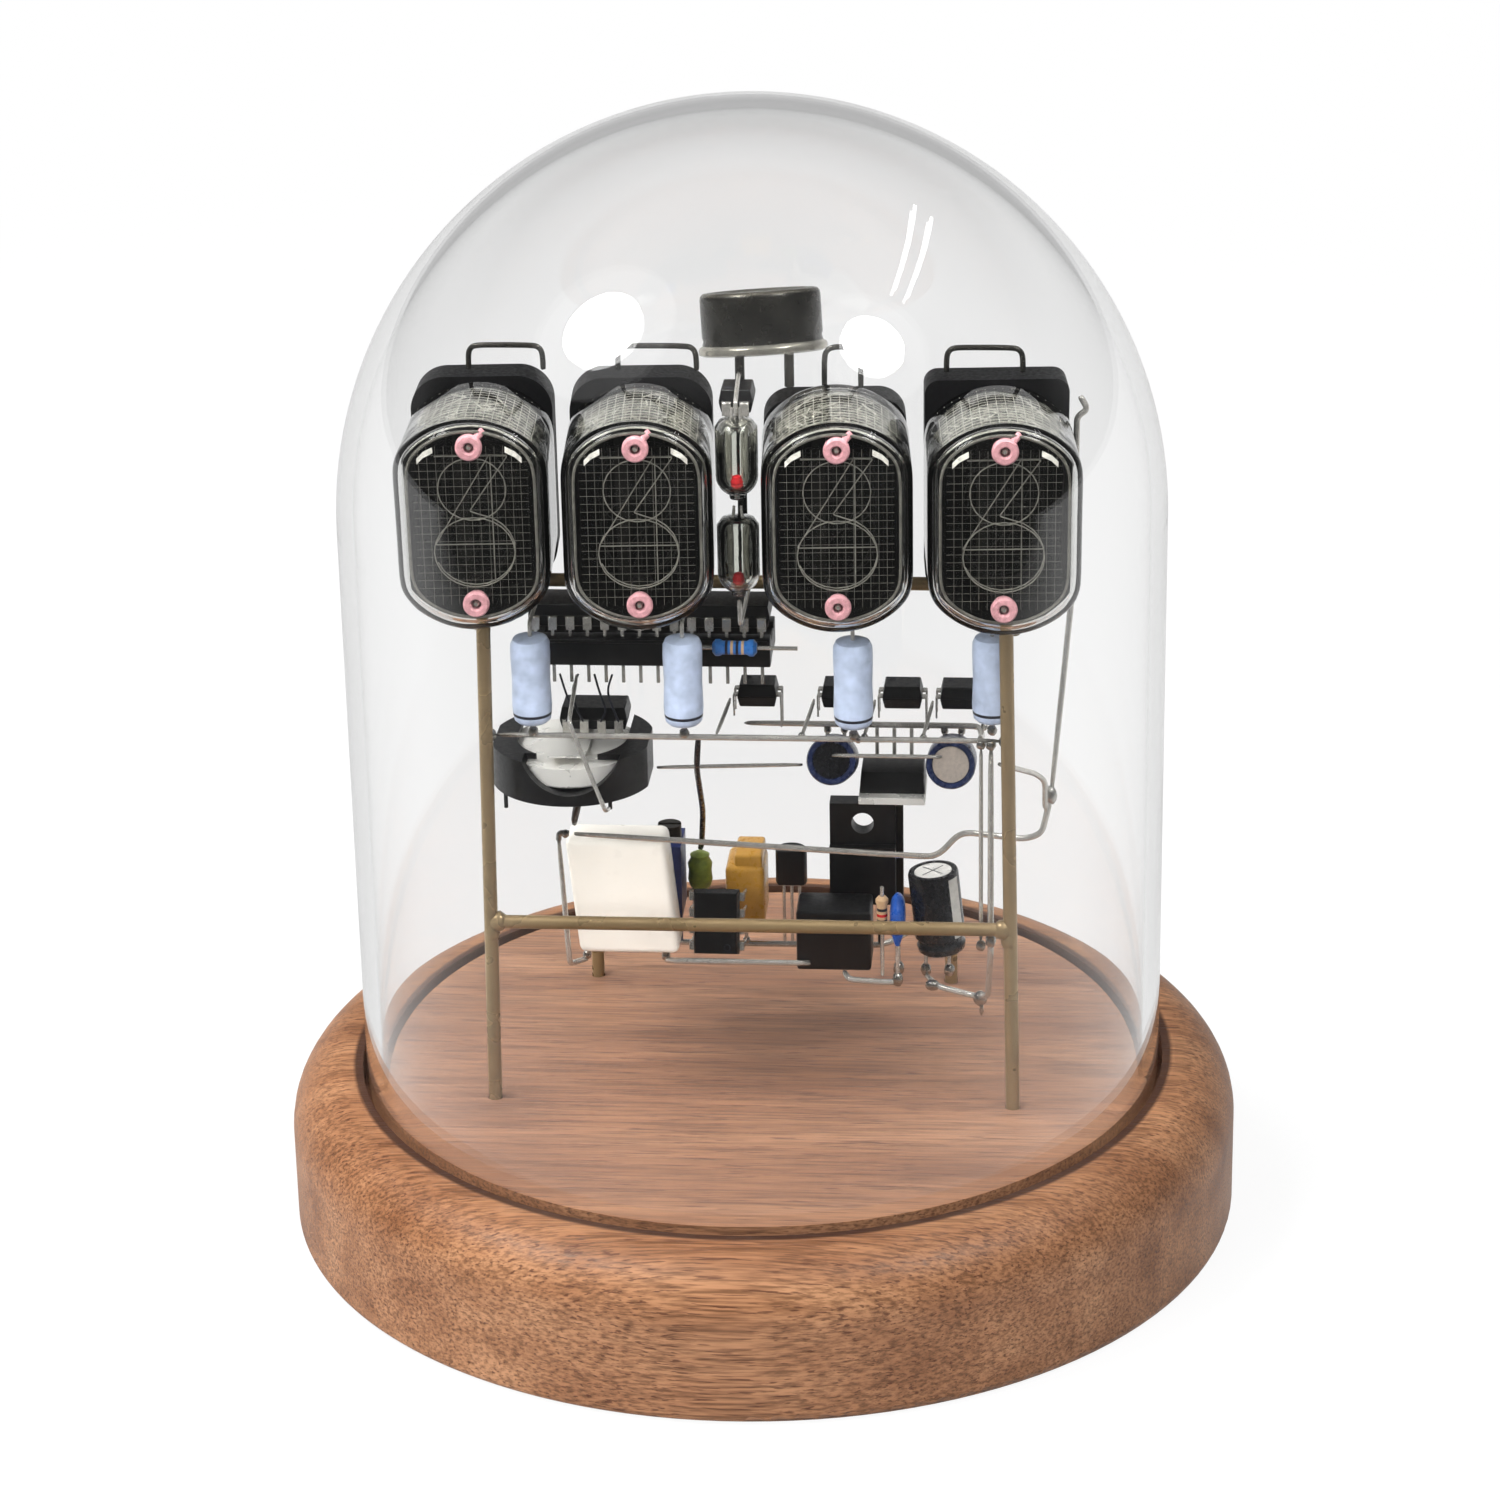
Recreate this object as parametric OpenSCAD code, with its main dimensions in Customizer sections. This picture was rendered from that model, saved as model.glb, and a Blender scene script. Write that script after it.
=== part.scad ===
// Nixie tube clock: four tubes on a free-form frame of brass rods and wires,
// under a glass dome on a turned beech base. Millimetres, +Z up, the tubes face -Y.
// The origin is the centre of the base's underside.
// Heights named *_z are measured from the top of the wood, unless a comment says otherwise.

/* [Base] */
// Diameter of the turned base
base_d = 143; // [138:1:160]
// Height of the base
base_h = 24; // [20:1:32]
// Radius of the large rounding on the top edge
base_edge_r = 9; // [3:0.5:10]
// Radius of the small rounding on the bottom edge
base_foot_r = 1.5; // [0.5:0.5:3]
// Depth of the groove that holds the dome
groove_depth = 4; // [3:0.5:6]
// Clearance between the dome and each wall of its groove
groove_gap = 0.6; // [0.3:0.1:1]

/* [Dome] */
// Outer diameter of the glass dome
dome_d = 120; // [118:1:124]
// Thickness of the dome's glass
dome_wall = 2.4; // [1.5:0.1:3]
// Straight height of the dome, from its rim to where the round top starts
dome_straight = 90; // [88:1:110]

/* [Frame] */
// Diameter of the brass rods
rod_d = 2; // [1.6:0.1:2.4]
// Half the distance between the two front legs
leg_x = 37; // [35.5:0.5:38]
// Distance of the front legs in front of the centre
leg_y = 18.5; // [17.5:0.5:19.5]
// How much further apart the front legs stand at the wood than at the tubes, on each side
leg_splay = 1.2; // [0:0.1:2]
// Height of the front crossbar
crossbar_z = 28.7; // [26:0.5:34]
// Depth of the holes that the legs and posts stand in
leg_seat = 8; // [5:0.5:10]
// Half the distance between the two rear posts
post_x = 28; // [26:0.5:32]
// Distance of the rear posts behind the centre
post_y = 24.5; // [22:0.5:28]
// Height of the rear posts
post_h = 15; // [14.5:0.5:24]

/* [Tubes] */
// Width of a tube's glass
tube_w = 21; // [20:0.2:21.4]
// Height of a tube's glass
tube_h = 31; // [30:0.5:32]
// Depth of a tube's glass
tube_depth = 22; // [20:0.5:23]
// Radius of the arched top and bottom of a tube
tube_arch_r = 12.5; // [11.5:0.5:14]
// Thickness of the tubes' glass
tube_wall = 1; // [0.8:0.1:1.2]
// Height of the tubes' centres
tube_z = 91.5; // [88:0.5:94]
// Distance of the tubes' faces in front of the centre
face_y = 25; // [24:0.5:26]
// Gap between two tubes of a pair
pair_gap = 2; // [1:0.25:2.5]
// Gap between the two middle tubes, where the colon is
colon_gap = 6.8; // [6.6:0.1:7.4]
// Diameter of a tube's pins
pin_d = 1; // [0.8:0.1:1.2]
// Length of a tube's pins
pin_len = 5; // [3:0.5:5.5]
// Distance from the top and the bottom of a tube's glass to its digits
digit_margin = 6.5; // [6:0.5:7.5]
// Width of the digits
digit_w = 10.5; // [9:0.5:12]
// Thickness of the digit plates
digit_t = 0.3; // [0.2:0.05:0.4]
// Distance from one digit plate to the next
digit_pitch = 0.9; // [0.7:0.05:1]
// Width of the metal strokes of the digits
stroke_w = 0.7; // [0.5:0.1:1]
// Distance between the openings of the anode mesh
mesh_pitch = 2.3; // [2.2:0.1:2.6]
// Width of the anode mesh's wires
mesh_wire = 0.4; // [0.3:0.05:0.6]

// Angle by which each tube is turned about its own upright axis
tube_turn = 4; // [3:0.5:4.5]

/* [Tube bases] */
// Thickness of the tubes' plastic bases
tube_base_t = 6; // [5:0.5:7]
// How much narrower a plastic base is than its tube
tube_base_inset = 0.6; // [0.4:0.1:1.5]

/* [Colon lamps] */
// Diameter of the neon lamps
neon_d = 6; // [5:0.2:6.2]
// Length of the neon lamps
neon_len = 12; // [10:0.5:12.5]

/* [Wires] */
// Diameter of the bus wires
bus_d = 0.9; // [0.7:0.1:1]
// Diameter of the thin wires and the component leads
lead_d = 0.6; // [0.5:0.1:0.7]
// Height of the upper bus wire behind the front legs
upper_bus_z = 57.6; // [56:0.2:58.4]
// Height of the lower bus wire behind the crossbar
lower_bus_z = 15.9; // [15:0.1:17]
// Height of the wire that joins the two rear posts
rear_bus_z = 12; // [10:0.5:13]
// Distance of that wire behind the centre
rear_bus_y = 11.3; // [11:0.1:11.8]

/* [Coin cell] */
// Diameter of the coin cell
cell_d = 20; // [18:0.5:20]
// Thickness of the coin cell
cell_t = 3.2; // [2:0.2:3.2]
// Clearance round the cell in its holder
cell_gap = 0.3; // [0.2:0.05:0.4]

/* [Parts] */
// Diameter of the anode resistors
anode_resistor_d = 5.7; // [4.5:0.1:5.8]
// Length of the anode resistors
anode_resistor_len = 13; // [10:0.5:13.5]
// Diameter of the round metal can on top
can_d = 17.6; // [14:0.2:20]
// Height of the round metal can
can_h = 9; // [6:0.5:10]
// Width of the white box capacitor
white_w = 15; // [12:0.5:16]
// Height of the white box capacitor
white_h = 18.4; // [14:0.2:20]
// Width of the power inductor
inductor_w = 11.2; // [10:0.2:12]
// Height of the power inductor
inductor_h = 9.6; // [8:0.2:15]
// Diameter of the high-voltage reservoir capacitor
reservoir_d = 7.6; // [6.3:0.1:7.8]
// Height of the high-voltage reservoir capacitor
reservoir_h = 13; // [10:0.5:16]
// Diameter of the two small capacitors seen end-on
small_cap_d = 7.2; // [5:0.1:7.2]

/* [Power inlet] */
// Inside diameter of the power inlet
inlet_bore_d = 6; // [5.5:0.1:6.4]
// Outside diameter of the power inlet
inlet_d = 10; // [9:0.5:12]
// Length of the power inlet
inlet_len = 14; // [12:0.5:16]
// Diameter of the inlet's centre pin
inlet_pin_d = 2; // [1.6:0.1:2.5]

/* [Hidden] */

$fn = 48;

brass = "#8a7a58";
tin = "#c9c6bd";
plastic = "#202124";

// Gap left at a soldered joint, so that the pieces stay separate solids
joint_gap = 0.15;
// Clearance of a rod in its hole in the wood
hole_gap = 0.1;
lead_r = lead_d / 2;
bus_r = bus_d / 2;
rod_r = rod_d / 2;

// Dome and groove
dome_r = dome_d / 2;
groove_outer_r = dome_r + groove_gap;
groove_inner_r = dome_r - dome_wall - groove_gap;
dome_rim_z = -groove_depth;

// Tubes: the four centres, the outline and what lies behind it
tube_x = [for (side = [-1, 1]) for (k = side < 0 ? [1, 0] : [0, 1])
    side * (colon_gap / 2 + tube_w / 2 + k * (tube_w + pair_gap))];
tube_back_y = -face_y + tube_depth;
tube_bottom_z = tube_z - tube_h / 2;
arch_centre = tube_h / 2 - tube_arch_r;
tube_base_front_y = tube_back_y + 0.2;
tube_base_back_y = tube_base_front_y + tube_base_t;
shield_gap = 0.4;
shield_t = 0.4;
mesh_y = -face_y + tube_wall + 0.9;
digits_y = mesh_y + 1.1;
digit_count = 10;
digit_h = tube_h - 2 * digit_margin;
spacer_d = 3;
spacer_z = tube_h / 2 - digit_margin + 0.5 + spacer_d / 2;
shield_back_y = digits_y + digit_count * digit_pitch + 0.6;
tube_base_top_z = tube_z + tube_h / 2 - 0.2;
// How much lower each base ends, and how round its corners are
tube_base_drop = [0, 0, 3, 0];
tube_base_corner = [5, 5, 4, 2];

// Frame
function leg_at(z) = leg_x + leg_splay * (1 - z / tube_bottom_z);
leg_tilt = atan(leg_splay / tube_bottom_z);
rail_x = leg_x + 0.6 * rod_d;
rail_z = tube_bottom_z - rod_r - 0.2;
rail_y = (tube_base_front_y + tube_base_back_y) / 2;
rail_front_y = -leg_y + rod_r + 0.2;

// Upper bus: it lies against the back of the front legs
bus_y = -leg_y + rod_r + bus_r + joint_gap;
// A second wire further back carries the optocouplers' rear pins
second_bus_y = -1.4;
second_bus_z = upper_bus_z - 4;

// Dual-in-line packages
dip_pitch = 2.54;
dip_t = 3.4;
opto_z = second_bus_z + 3.9;
opto_x = [0.6, 12.9, 21.8, 30.2];
opto_w = 5;
opto_d = 6.4;
opto_y = second_bus_y - dip_pitch / 2;
rtc_y = second_bus_y - 0.25 - opto_d / 2;
opto_top_y = rail_y - 0.7 - 0.5 - opto_d / 2;
micro_z = rail_z - 10.1;
micro_y = -2.5;
chip_socket = [14 * dip_pitch, 10, 4.2];

// Coin cell and its holder
cell_floor = 1.5;
cell_lid = 0.9;
holder_wall = 1;
cell_x = -26.2;
cell_y = -8.3;
holder_r = cell_d / 2 + cell_gap + holder_wall;
holder_h = cell_floor + cell_t + 2 * cell_gap + cell_lid;
holder_z = upper_bus_z - 3.6 - holder_h;

// Lower components: the front ones share one front plane
front_plane_y = -2.5;
white_x = -20.3;
white_z = lower_bus_z + 1.1;
white_d = 7;
white_lean = 5.5;
inductor_x = 11.2;
inductor_z = lower_bus_z - 1.8;
inductor_d = 7.5;
mosfet_x = 15;
mosfet_z = rear_bus_z + 8;
reservoir_x = 26.6;
reservoir_lean = 6;
reservoir_y = 2;
reservoir_z = rear_bus_z + 4;
disc_x = 20.75;
disc_z = lower_bus_z + 6.6;
second_wire_z = lower_bus_z - 2.9;
green_x = -10;
green_z = rear_bus_z + 9;
green_h = 6.2;
trimmer_x = -15.2;
trimmer_size = [6, 7.4, 11.6];
screw_x = 1;
trimmer_z = rear_bus_z + 7.2;
trimmer_y = rear_bus_y - 3;
long_wire_z = white_z + white_h + bus_r + 1.2;

// ---------- helpers ----------

// Lifts its children from the origin to the top of the wood
module on_wood(x = 0, y = 0, z = 0) {
    translate([x, y, base_h + z]) children();
}

// Round lead that goes down from a point
module lead_down(x, y, z, length, d = lead_d) {
    translate([x, y, z - length]) cylinder(d = d, h = length);
}

// Straight round lead between two points
module lead_between(a, b, d = lead_d) {
    v = b - a;
    translate(a) rotate([0, acos(v.z / norm(v)), atan2(v.y, v.x)]) cylinder(d = d, h = norm(v));
}

// Leans its children's top to the left, about half their height
module leaning(angle, height) {
    translate([0, 0, height / 2]) rotate([0, -angle, 0]) translate([0, 0, -height / 2]) children();
}

// Front view of a tube: straight sides, arched top and bottom, grown by d
module tube_outline(d = 0) {
    r = tube_arch_r + d;
    intersection() {
        square([tube_w + 2 * d, tube_h + 2 * d], center = true);
        union() {
            translate([0, arch_centre]) circle(r = r, $fn = 96);
            translate([0, -arch_centre]) circle(r = r, $fn = 96);
            square([2 * r, 2 * arch_centre], center = true);
        }
    }
}

// Turns what belongs to the tube at x, about an upright axis in the middle of its face
module turned(x) {
    translate([x, -face_y, 0]) rotate([0, 0, tube_turn]) translate([-x, face_y, 0]) children();
}

// Plate in the shape of a front view, from y0 back to y1, at a tube's centre
module plate(x, y0, y1) {
    turned(x) translate([x, y1, base_h + tube_z]) rotate([90, 0, 0])
        linear_extrude(height = y1 - y0) children();
}

function unit(v) = v / norm(v);

// Points of a bent wire: each corner of the route becomes an arc of radius bend
function rounded(route, bend, steps = 3) = concat(
    [route[0]],
    [for (i = [1 : 1 : len(route) - 2])
        let (a = unit(route[i - 1] - route[i]), b = unit(route[i + 1] - route[i]),
             t = min(bend, norm(route[i - 1] - route[i]) * 0.45, norm(route[i + 1] - route[i]) * 0.45),
             p = route[i] + a * t, q = route[i] + b * t)
        for (s = [0 : steps])
            let (u = s / steps)
            (1 - u) * (1 - u) * p + 2 * u * (1 - u) * route[i] + u * u * q],
    [route[len(route) - 1]]);

// Direction of a path at each point, and a side direction that keeps the rings from twisting
function path_dir(p, i) = unit(p[min(i + 1, len(p) - 1)] - p[max(i - 1, 0)]);
function first_side(d) = unit(cross(d, abs(d.z) < 0.9 ? [0, 0, 1] : [1, 0, 0]));
function sides(p, i = 0, s = undef, out = []) =
    i == len(p) ? out :
    let (d = path_dir(p, i),
         n = i == 0 ? first_side(d) : unit(s - d * (s * d)))
    sides(p, i + 1, n, concat(out, [n]));

// Round wire along a route, one closed tube of eight sides
module wire(route, d, bend = 1.5) {
    p = len(route) > 2 ? rounded(route, bend) : route;
    n = 8;
    side = sides(p);
    rings = [for (i = [0 : len(p) - 1])
        let (t = path_dir(p, i), u = side[i], v = cross(t, u))
        for (k = [0 : n - 1])
            p[i] + d / 2 * (cos(360 * k / n) * u + sin(360 * k / n) * v)];
    walls = [for (i = [0 : len(p) - 2]) for (k = [0 : n - 1])
        let (a = i * n + k, b = i * n + (k + 1) % n)
        each [[a, b, a + n], [b, b + n, a + n]]];
    ends = [for (k = [1 : n - 2])
        each [[0, k + 1, k], let (m = (len(p) - 1) * n) [m, m + k, m + k + 1]]];
    polyhedron(points = rings, faces = [for (f = concat(walls, ends)) [f[0], f[2], f[1]]]);
}

// Flat rectangle with round corners
module rounded_square(size, r) {
    square([size.x, size.y - 2 * r], center = true);
    square([size.x - 2 * r, size.y], center = true);
    for (sx = [-1, 1], sy = [-1, 1])
        translate([sx * (size.x / 2 - r), sy * (size.y / 2 - r)]) circle(r = r);
}

// Box with its vertical edges rounded, standing on z = 0
module rounded_box(size, r) {
    linear_extrude(height = size.z) rounded_square([size.x, size.y], r);
}

// Dual-in-line package: length along X, body bottom at z = 0; its rear pins reach down by
// pin_drop and its front pins by front_drop
module dip(pairs, body_w, pin_drop, front_drop) {
    span = body_w + 1.1;
    t = 0.3;
    length = pairs * dip_pitch - 0.2;
    translate([-length / 2, -body_w / 2, 0]) cube([length, body_w, dip_t]);
    for (i = [0 : pairs - 1])
        translate([(i - (pairs - 1) / 2) * dip_pitch + 0.25, 0, 0]) rotate([90, 0, -90])
            linear_extrude(height = 0.5) polygon([
                [-span / 2, -pin_drop], [-span / 2 + t, -pin_drop], [-span / 2 + t, 1.5],
                [span / 2 - t, 1.5], [span / 2 - t, -front_drop], [span / 2, -front_drop],
                [span / 2, 1.5 + t], [-span / 2, 1.5 + t]]);
}

// ---------- base and dome ----------

module wood_base() {
    r = base_d / 2;
    color("#b9814f") difference() {
        rotate_extrude($fn = 180) difference() {
            union() {
                translate([0, base_foot_r]) square([r, base_h - base_foot_r - base_edge_r]);
                square([r - base_foot_r, base_h]);
                translate([r - base_foot_r, base_foot_r]) circle(r = base_foot_r);
                square([r - base_edge_r, base_h]);
                intersection() {
                    translate([r - base_edge_r, base_h - base_edge_r]) circle(r = base_edge_r);
                    square([r + 1, base_h]);
                }
            }
            translate([r - base_foot_r, base_h - base_edge_r]) difference() {
                square([base_foot_r + 1, base_edge_r + 1]);
                translate([base_foot_r - base_edge_r, 0]) circle(r = base_edge_r);
            }
            translate([r - base_edge_r, base_h - base_edge_r]) difference() {
                square([base_edge_r + 1, base_edge_r + 1]);
                circle(r = base_edge_r);
            }
            translate([groove_inner_r, base_h - groove_depth])
                square([groove_outer_r - groove_inner_r, groove_depth + 1]);
        }
        for (sx = [-1, 1]) {
            leg_place(sx) translate([0, 0, -leg_seat]) cylinder(r = rod_r + hole_gap, h = leg_seat + 1);
            translate([sx * post_x, post_y, base_h - leg_seat])
                cylinder(r = rod_r + hole_gap, h = leg_seat + 1);
            translate(feed_start(sx)) rotate([0, 0, feed_angle(sx)]) rotate([0, 90, 0])
                translate([0, 0, -1]) cylinder(r = bus_r + 0.2, h = feed_len(sx) + 2);
            translate([sx * post_x, post_y, inlet_z - bus_r - 0.4])
                cylinder(r = rod_r + hole_gap, h = base_h - leg_seat - inlet_z + bus_r + 0.8);
        }
        translate([0, base_d / 2 + 1, inlet_z]) rotate([90, 0, 0])
            cylinder(d = inlet_d + 2 * hole_gap, h = inlet_len + inlet_sink + 1.2);
    }
}

module glass_dome() {
    color("lightcyan", 0.25) translate([0, 0, base_h + dome_rim_z]) rotate_extrude($fn = 180) {
        difference() {
            union() {
                translate([dome_r - dome_wall, 0]) square([dome_wall, dome_straight]);
                translate([0, dome_straight]) intersection() {
                    difference() {
                        circle(r = dome_r);
                        circle(r = dome_r - dome_wall);
                    }
                    square([dome_r + 1, dome_r + 1]);
                }
            }
        }
    }
}

// Power inlet: sunk a little into the back of the base
inlet_z = base_h / 2 - 1;
inlet_sink = 0.6;
inlet_back_y = base_d / 2 - inlet_sink;

module power_inlet() {
    color(plastic) translate([0, inlet_back_y, inlet_z]) rotate([90, 0, 0]) {
        difference() {
            cylinder(d = inlet_d, h = inlet_len);
            translate([0, 0, -1]) cylinder(d = inlet_bore_d, h = inlet_len - 1.5);
        }
        translate([0, 0, 1.5]) cylinder(d = inlet_pin_d, h = inlet_len - 2);
    }
}

// The two feed wires run from the inlet to the foot of each rear post
function feed_start(sx) = [sx * 2.5, inlet_back_y - inlet_len - 0.5, inlet_z];
function feed_end(sx) = [sx * post_x, post_y, inlet_z];
function feed_angle(sx) = atan2(feed_end(sx).y - feed_start(sx).y, feed_end(sx).x - feed_start(sx).x);
function feed_len(sx) = norm(feed_end(sx) - feed_start(sx)) - 0.3;

module feed_wires() {
    color("firebrick") for (sx = [-1, 1]) {
        translate(feed_start(sx)) rotate([0, 0, feed_angle(sx)]) rotate([0, 90, 0])
            cylinder(d = bus_d, h = feed_len(sx));
        translate([sx * post_x, post_y, inlet_z - bus_r])
            cylinder(d = 1.6 * bus_d, h = base_h - leg_seat - inlet_z + bus_r - joint_gap);
    }
}

// ---------- frame ----------

// A front leg leans in a little from its foot
module leg_place(side) {
    on_wood(side * leg_at(0), -leg_y, 0) rotate([0, -side * leg_tilt, 0]) children();
}

module leg(side) {
    color(brass) leg_place(side) translate([0, 0, -leg_seat])
        cylinder(d = rod_d, h = leg_seat + tube_bottom_z - 0.3);
}

module rear_posts() {
    color(brass) for (side = [-1, 1])
        translate([side * post_x, post_y, base_h - leg_seat]) cylinder(d = rod_d, h = leg_seat + post_h);
}

module front_crossbar() {
    length = 2 * (leg_at(crossbar_z) - rod_r - joint_gap);
    color(brass) on_wood(-length / 2, -leg_y, crossbar_z) rotate([0, 90, 0]) cylinder(d = rod_d, h = length);
}

module side_rails() {
    color(brass) for (side = [-1, 1])
        on_wood(side * rail_x, rail_y - rod_r - joint_gap, rail_z) rotate([90, 0, 0])
            cylinder(d = rod_d, h = rail_y - rod_r - joint_gap - rail_front_y);
}

// Rod behind the tubes, which their bases stand on
module base_rail() {
    color(brass) on_wood(-rail_x - rod_r, rail_y, rail_z) rotate([0, 90, 0])
        cylinder(d = rod_d, h = 2 * (rail_x + rod_r));
}

// ---------- tubes ----------

module tube_glass(n) {
    color("lightcyan", 0.3) difference() {
        plate(tube_x[n], -face_y, tube_back_y) tube_outline();
        plate(tube_x[n], -face_y + tube_wall, tube_back_y - 1.8 * tube_wall) tube_outline(-tube_wall);
    }
}

module tube_shield(n) {
    outer = -tube_wall - shield_gap;
    color("#9a958a") difference() {
        plate(tube_x[n], mesh_y + 0.4, shield_back_y + shield_t) tube_outline(outer);
        plate(tube_x[n], mesh_y, shield_back_y) tube_outline(outer - shield_t);
    }
}

// The mesh covers the tube's front; an opening is cut only where it fits the arched outline
module anode_mesh(n) {
    edge = -tube_wall - shield_gap;
    columns = 3;
    rows = 5;
    hole = mesh_pitch - mesh_wire;
    color("#6d6a63") plate(tube_x[n], mesh_y, mesh_y + 0.25) difference() {
        tube_outline(edge);
        for (i = [-columns : columns], j = [-rows : rows])
            if (norm([abs(i) * mesh_pitch + hole / 2,
                      max(0, abs(j) * mesh_pitch + hole / 2 - arch_centre)]) < tube_arch_r + edge - 0.4
                && abs(i) * mesh_pitch + hole / 2 < tube_w / 2 + edge - 0.4)
                translate([i * mesh_pitch, j * mesh_pitch]) square(hole, center = true);
    }
}

// Strokes of a digit, in units of half its width and half its height
function bow(cx, cy, rx, ry, a0, a1, n = 10) =
    [for (i = [0 : n]) let (a = a0 + (a1 - a0) * i / n) [cx + rx * cos(a), cy + ry * sin(a)]];
function digit_strokes(k) =
    k == 0 ? [bow(0, 0, 1, 1, 90, -270, 20)] :
    k == 1 ? [[[0, -1], [0, 1]]] :
    k == 2 ? [concat(bow(0, 0.45, 1, 0.55, 160, -35), [[-1, -1], [1, -1]])] :
    k == 3 ? [concat([[-0.9, 1], [0.9, 1], [-0.1, 0.15]], bow(0, -0.45, 1, 0.55, 80, -160))] :
    k == 4 ? [[[0.45, -1], [0.45, 1], [-1, -0.4], [1, -0.4]]] :
    k == 5 ? [concat([[0.9, 1], [-0.75, 1], [-0.85, 0.1]], bow(0, -0.4, 1, 0.6, 120, -155))] :
    k == 6 ? [concat(bow(0.3, 0, 1.25, 1, 75, 170), bow(0, -0.42, 1, 0.58, 180, 510, 16))] :
    k == 7 ? [[[-1, 1], [1, 1], [-0.3, -1]]] :
    k == 8 ? [bow(0, 0.5, 0.85, 0.5, -80, 260, 14), bow(0, -0.5, 1, 0.5, 90, -270, 16)] :
    [concat(bow(-0.3, 0, 1.25, 1, -105, -10), bow(0, 0.42, 1, 0.58, 0, 330, 16))];

// Flat ribbon along a stroke, as one outline
module ribbon(stroke) {
    p = [for (q = stroke) [q.x * (digit_w - stroke_w) / 2, q.y * (digit_h - stroke_w) / 2]];
    last = len(p) - 1;
    for (i = [0 : last - 1])
        let (d = p[i + 1] - p[i], n = [-d.y, d.x] / norm(d) * stroke_w / 2, e = d / norm(d) * stroke_w / 4)
        polygon([p[i] + n - e, p[i + 1] + n + e, p[i + 1] - n + e, p[i] - n - e]);
}

// The ten digit plates stand one behind another; 3 is in front, as in most such tubes
digit_order = [3, 8, 9, 4, 0, 5, 7, 2, 6, 1];

module digit_stack(n) {
    color("#7c7970") for (k = [0 : digit_count - 1])
        plate(tube_x[n], digits_y + k * digit_pitch, digits_y + k * digit_pitch + digit_t)
            for (s = digit_strokes(digit_order[k])) ribbon(s);
}

// One ceramic spacer above and one below the digits of each tube
module ceramic_spacers() {
    color("#d9929c") for (x = tube_x, side = [-1, 1])
        turned(x) on_wood(x, shield_back_y - joint_gap, tube_z + side * spacer_z) rotate([90, 0, 0]) difference() {
            cylinder(d = spacer_d, h = shield_back_y - joint_gap - digits_y);
            translate([0, 0, shield_back_y - digits_y - spacer_d / 2]) cylinder(d = spacer_d * 0.4, h = spacer_d);
        }
}

// Places of the twelve pins, on an oval
pin_oval = [7, 11];
pin_places = [for (a = [15 : 30 : 345]) [pin_oval.x * cos(a), pin_oval.y * sin(a)]];

module tube_pins() {
    color(tin) for (x = tube_x, p = pin_places)
        turned(x) on_wood(x + p.x, tube_back_y + pin_len, tube_z + p.y) rotate([90, 0, 0])
            cylinder(d = pin_d, h = pin_len, $fn = 24);
}

module tube_base(n) {
    bottom = rail_z + rod_r + joint_gap;
    height = tube_base_top_z - tube_base_drop[n] - bottom;
    color(plastic) difference() {
        union() {
            plate(tube_x[n], tube_base_front_y, tube_base_back_y)
                translate([0, bottom + height / 2 - tube_z])
                    rounded_square([tube_w - tube_base_inset, height], tube_base_corner[n]);
            for (p = pin_places)
                turned(tube_x[n]) on_wood(tube_x[n] + p.x, tube_base_back_y + 2, tube_z + p.y)
                    rotate([90, 0, 0]) cylinder(d = 0.8, h = 2.5, $fn = 24);
        }
        for (p = pin_places)
            turned(tube_x[n]) on_wood(tube_x[n] + p.x, tube_base_back_y - 0.5, tube_z + p.y)
                rotate([90, 0, 0]) cylinder(d = pin_d + 0.3, h = tube_base_t, $fn = 24);
    }
}

// ---------- colon and top ----------

neon_y = -18;
neon_x = -(face_y + neon_y) * tan(tube_turn);
neon_z = [tube_z + 2.2, tube_z - neon_len - 0.2];

module neon_glass() {
    color("lightcyan", 0.4) for (z = neon_z) on_wood(neon_x, neon_y, z) rotate_extrude() difference() {
        neon_profile(neon_d / 2, 0);
        neon_profile(neon_d / 2, 0.5);
    }
}

// Half section of a lamp: round tip below, flat top; inset shrinks it
module neon_profile(r, inset) {
    translate([0, r]) square([r - inset, neon_len - r - inset]);
    intersection() {
        translate([0, r]) circle(r = r - inset);
        translate([0, inset]) square([r, r]);
    }
}

module neon_electrodes() {
    top = neon_z[0] + neon_len;
    color(tin) {
        for (z = neon_z, side = [-1, 1])
            on_wood(neon_x + side * 1.1, neon_y, z + 2.6) cylinder(d = 0.9, h = neon_len - 3.3);
        on_wood() wire([[neon_x, neon_y, top + 0.4], [neon_x, neon_y, top + 2.5],
            [can_post.x, can_post.y - can_lead_d / 2 - lead_r - 0.1, top + 1.6]], lead_d);
        on_wood() wire([[neon_x, neon_y, neon_z[1] - 0.4], [neon_x, neon_y, rail_z],
            [neon_x, rail_y - rod_r - lead_r - 0.1, rail_z]], lead_d);
    }
}

// Round metal can, tilted back: one stout lead stands on the rail between the tubes, a short
// one ends above the third tube
can_centre = [1.7, 4.5];
can_z = tube_base_top_z + 1.5;
can_post = [-1.4, rail_y];
can_foot = [6, -4.1];
can_lead_d = 1.4;
can_tilt = [-14, -4, 0];

module metal_can() {
    color("#4a4a46") {
        on_wood(can_centre.x, can_centre.y, can_z) rotate(can_tilt) {
            cylinder(d = can_d, h = can_h, $fn = 96);
            cylinder(d = can_d + 1, h = 2, $fn = 96);
        }
        on_wood(can_post.x, can_post.y, rail_z + rod_r + joint_gap)
            cylinder(d = can_lead_d, h = can_z - rail_z + 1);
        on_wood(can_foot.x, can_foot.y, can_z - 2.2) cylinder(d = can_lead_d, h = 5.6);
    }
}

// ---------- upper electronics ----------

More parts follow.
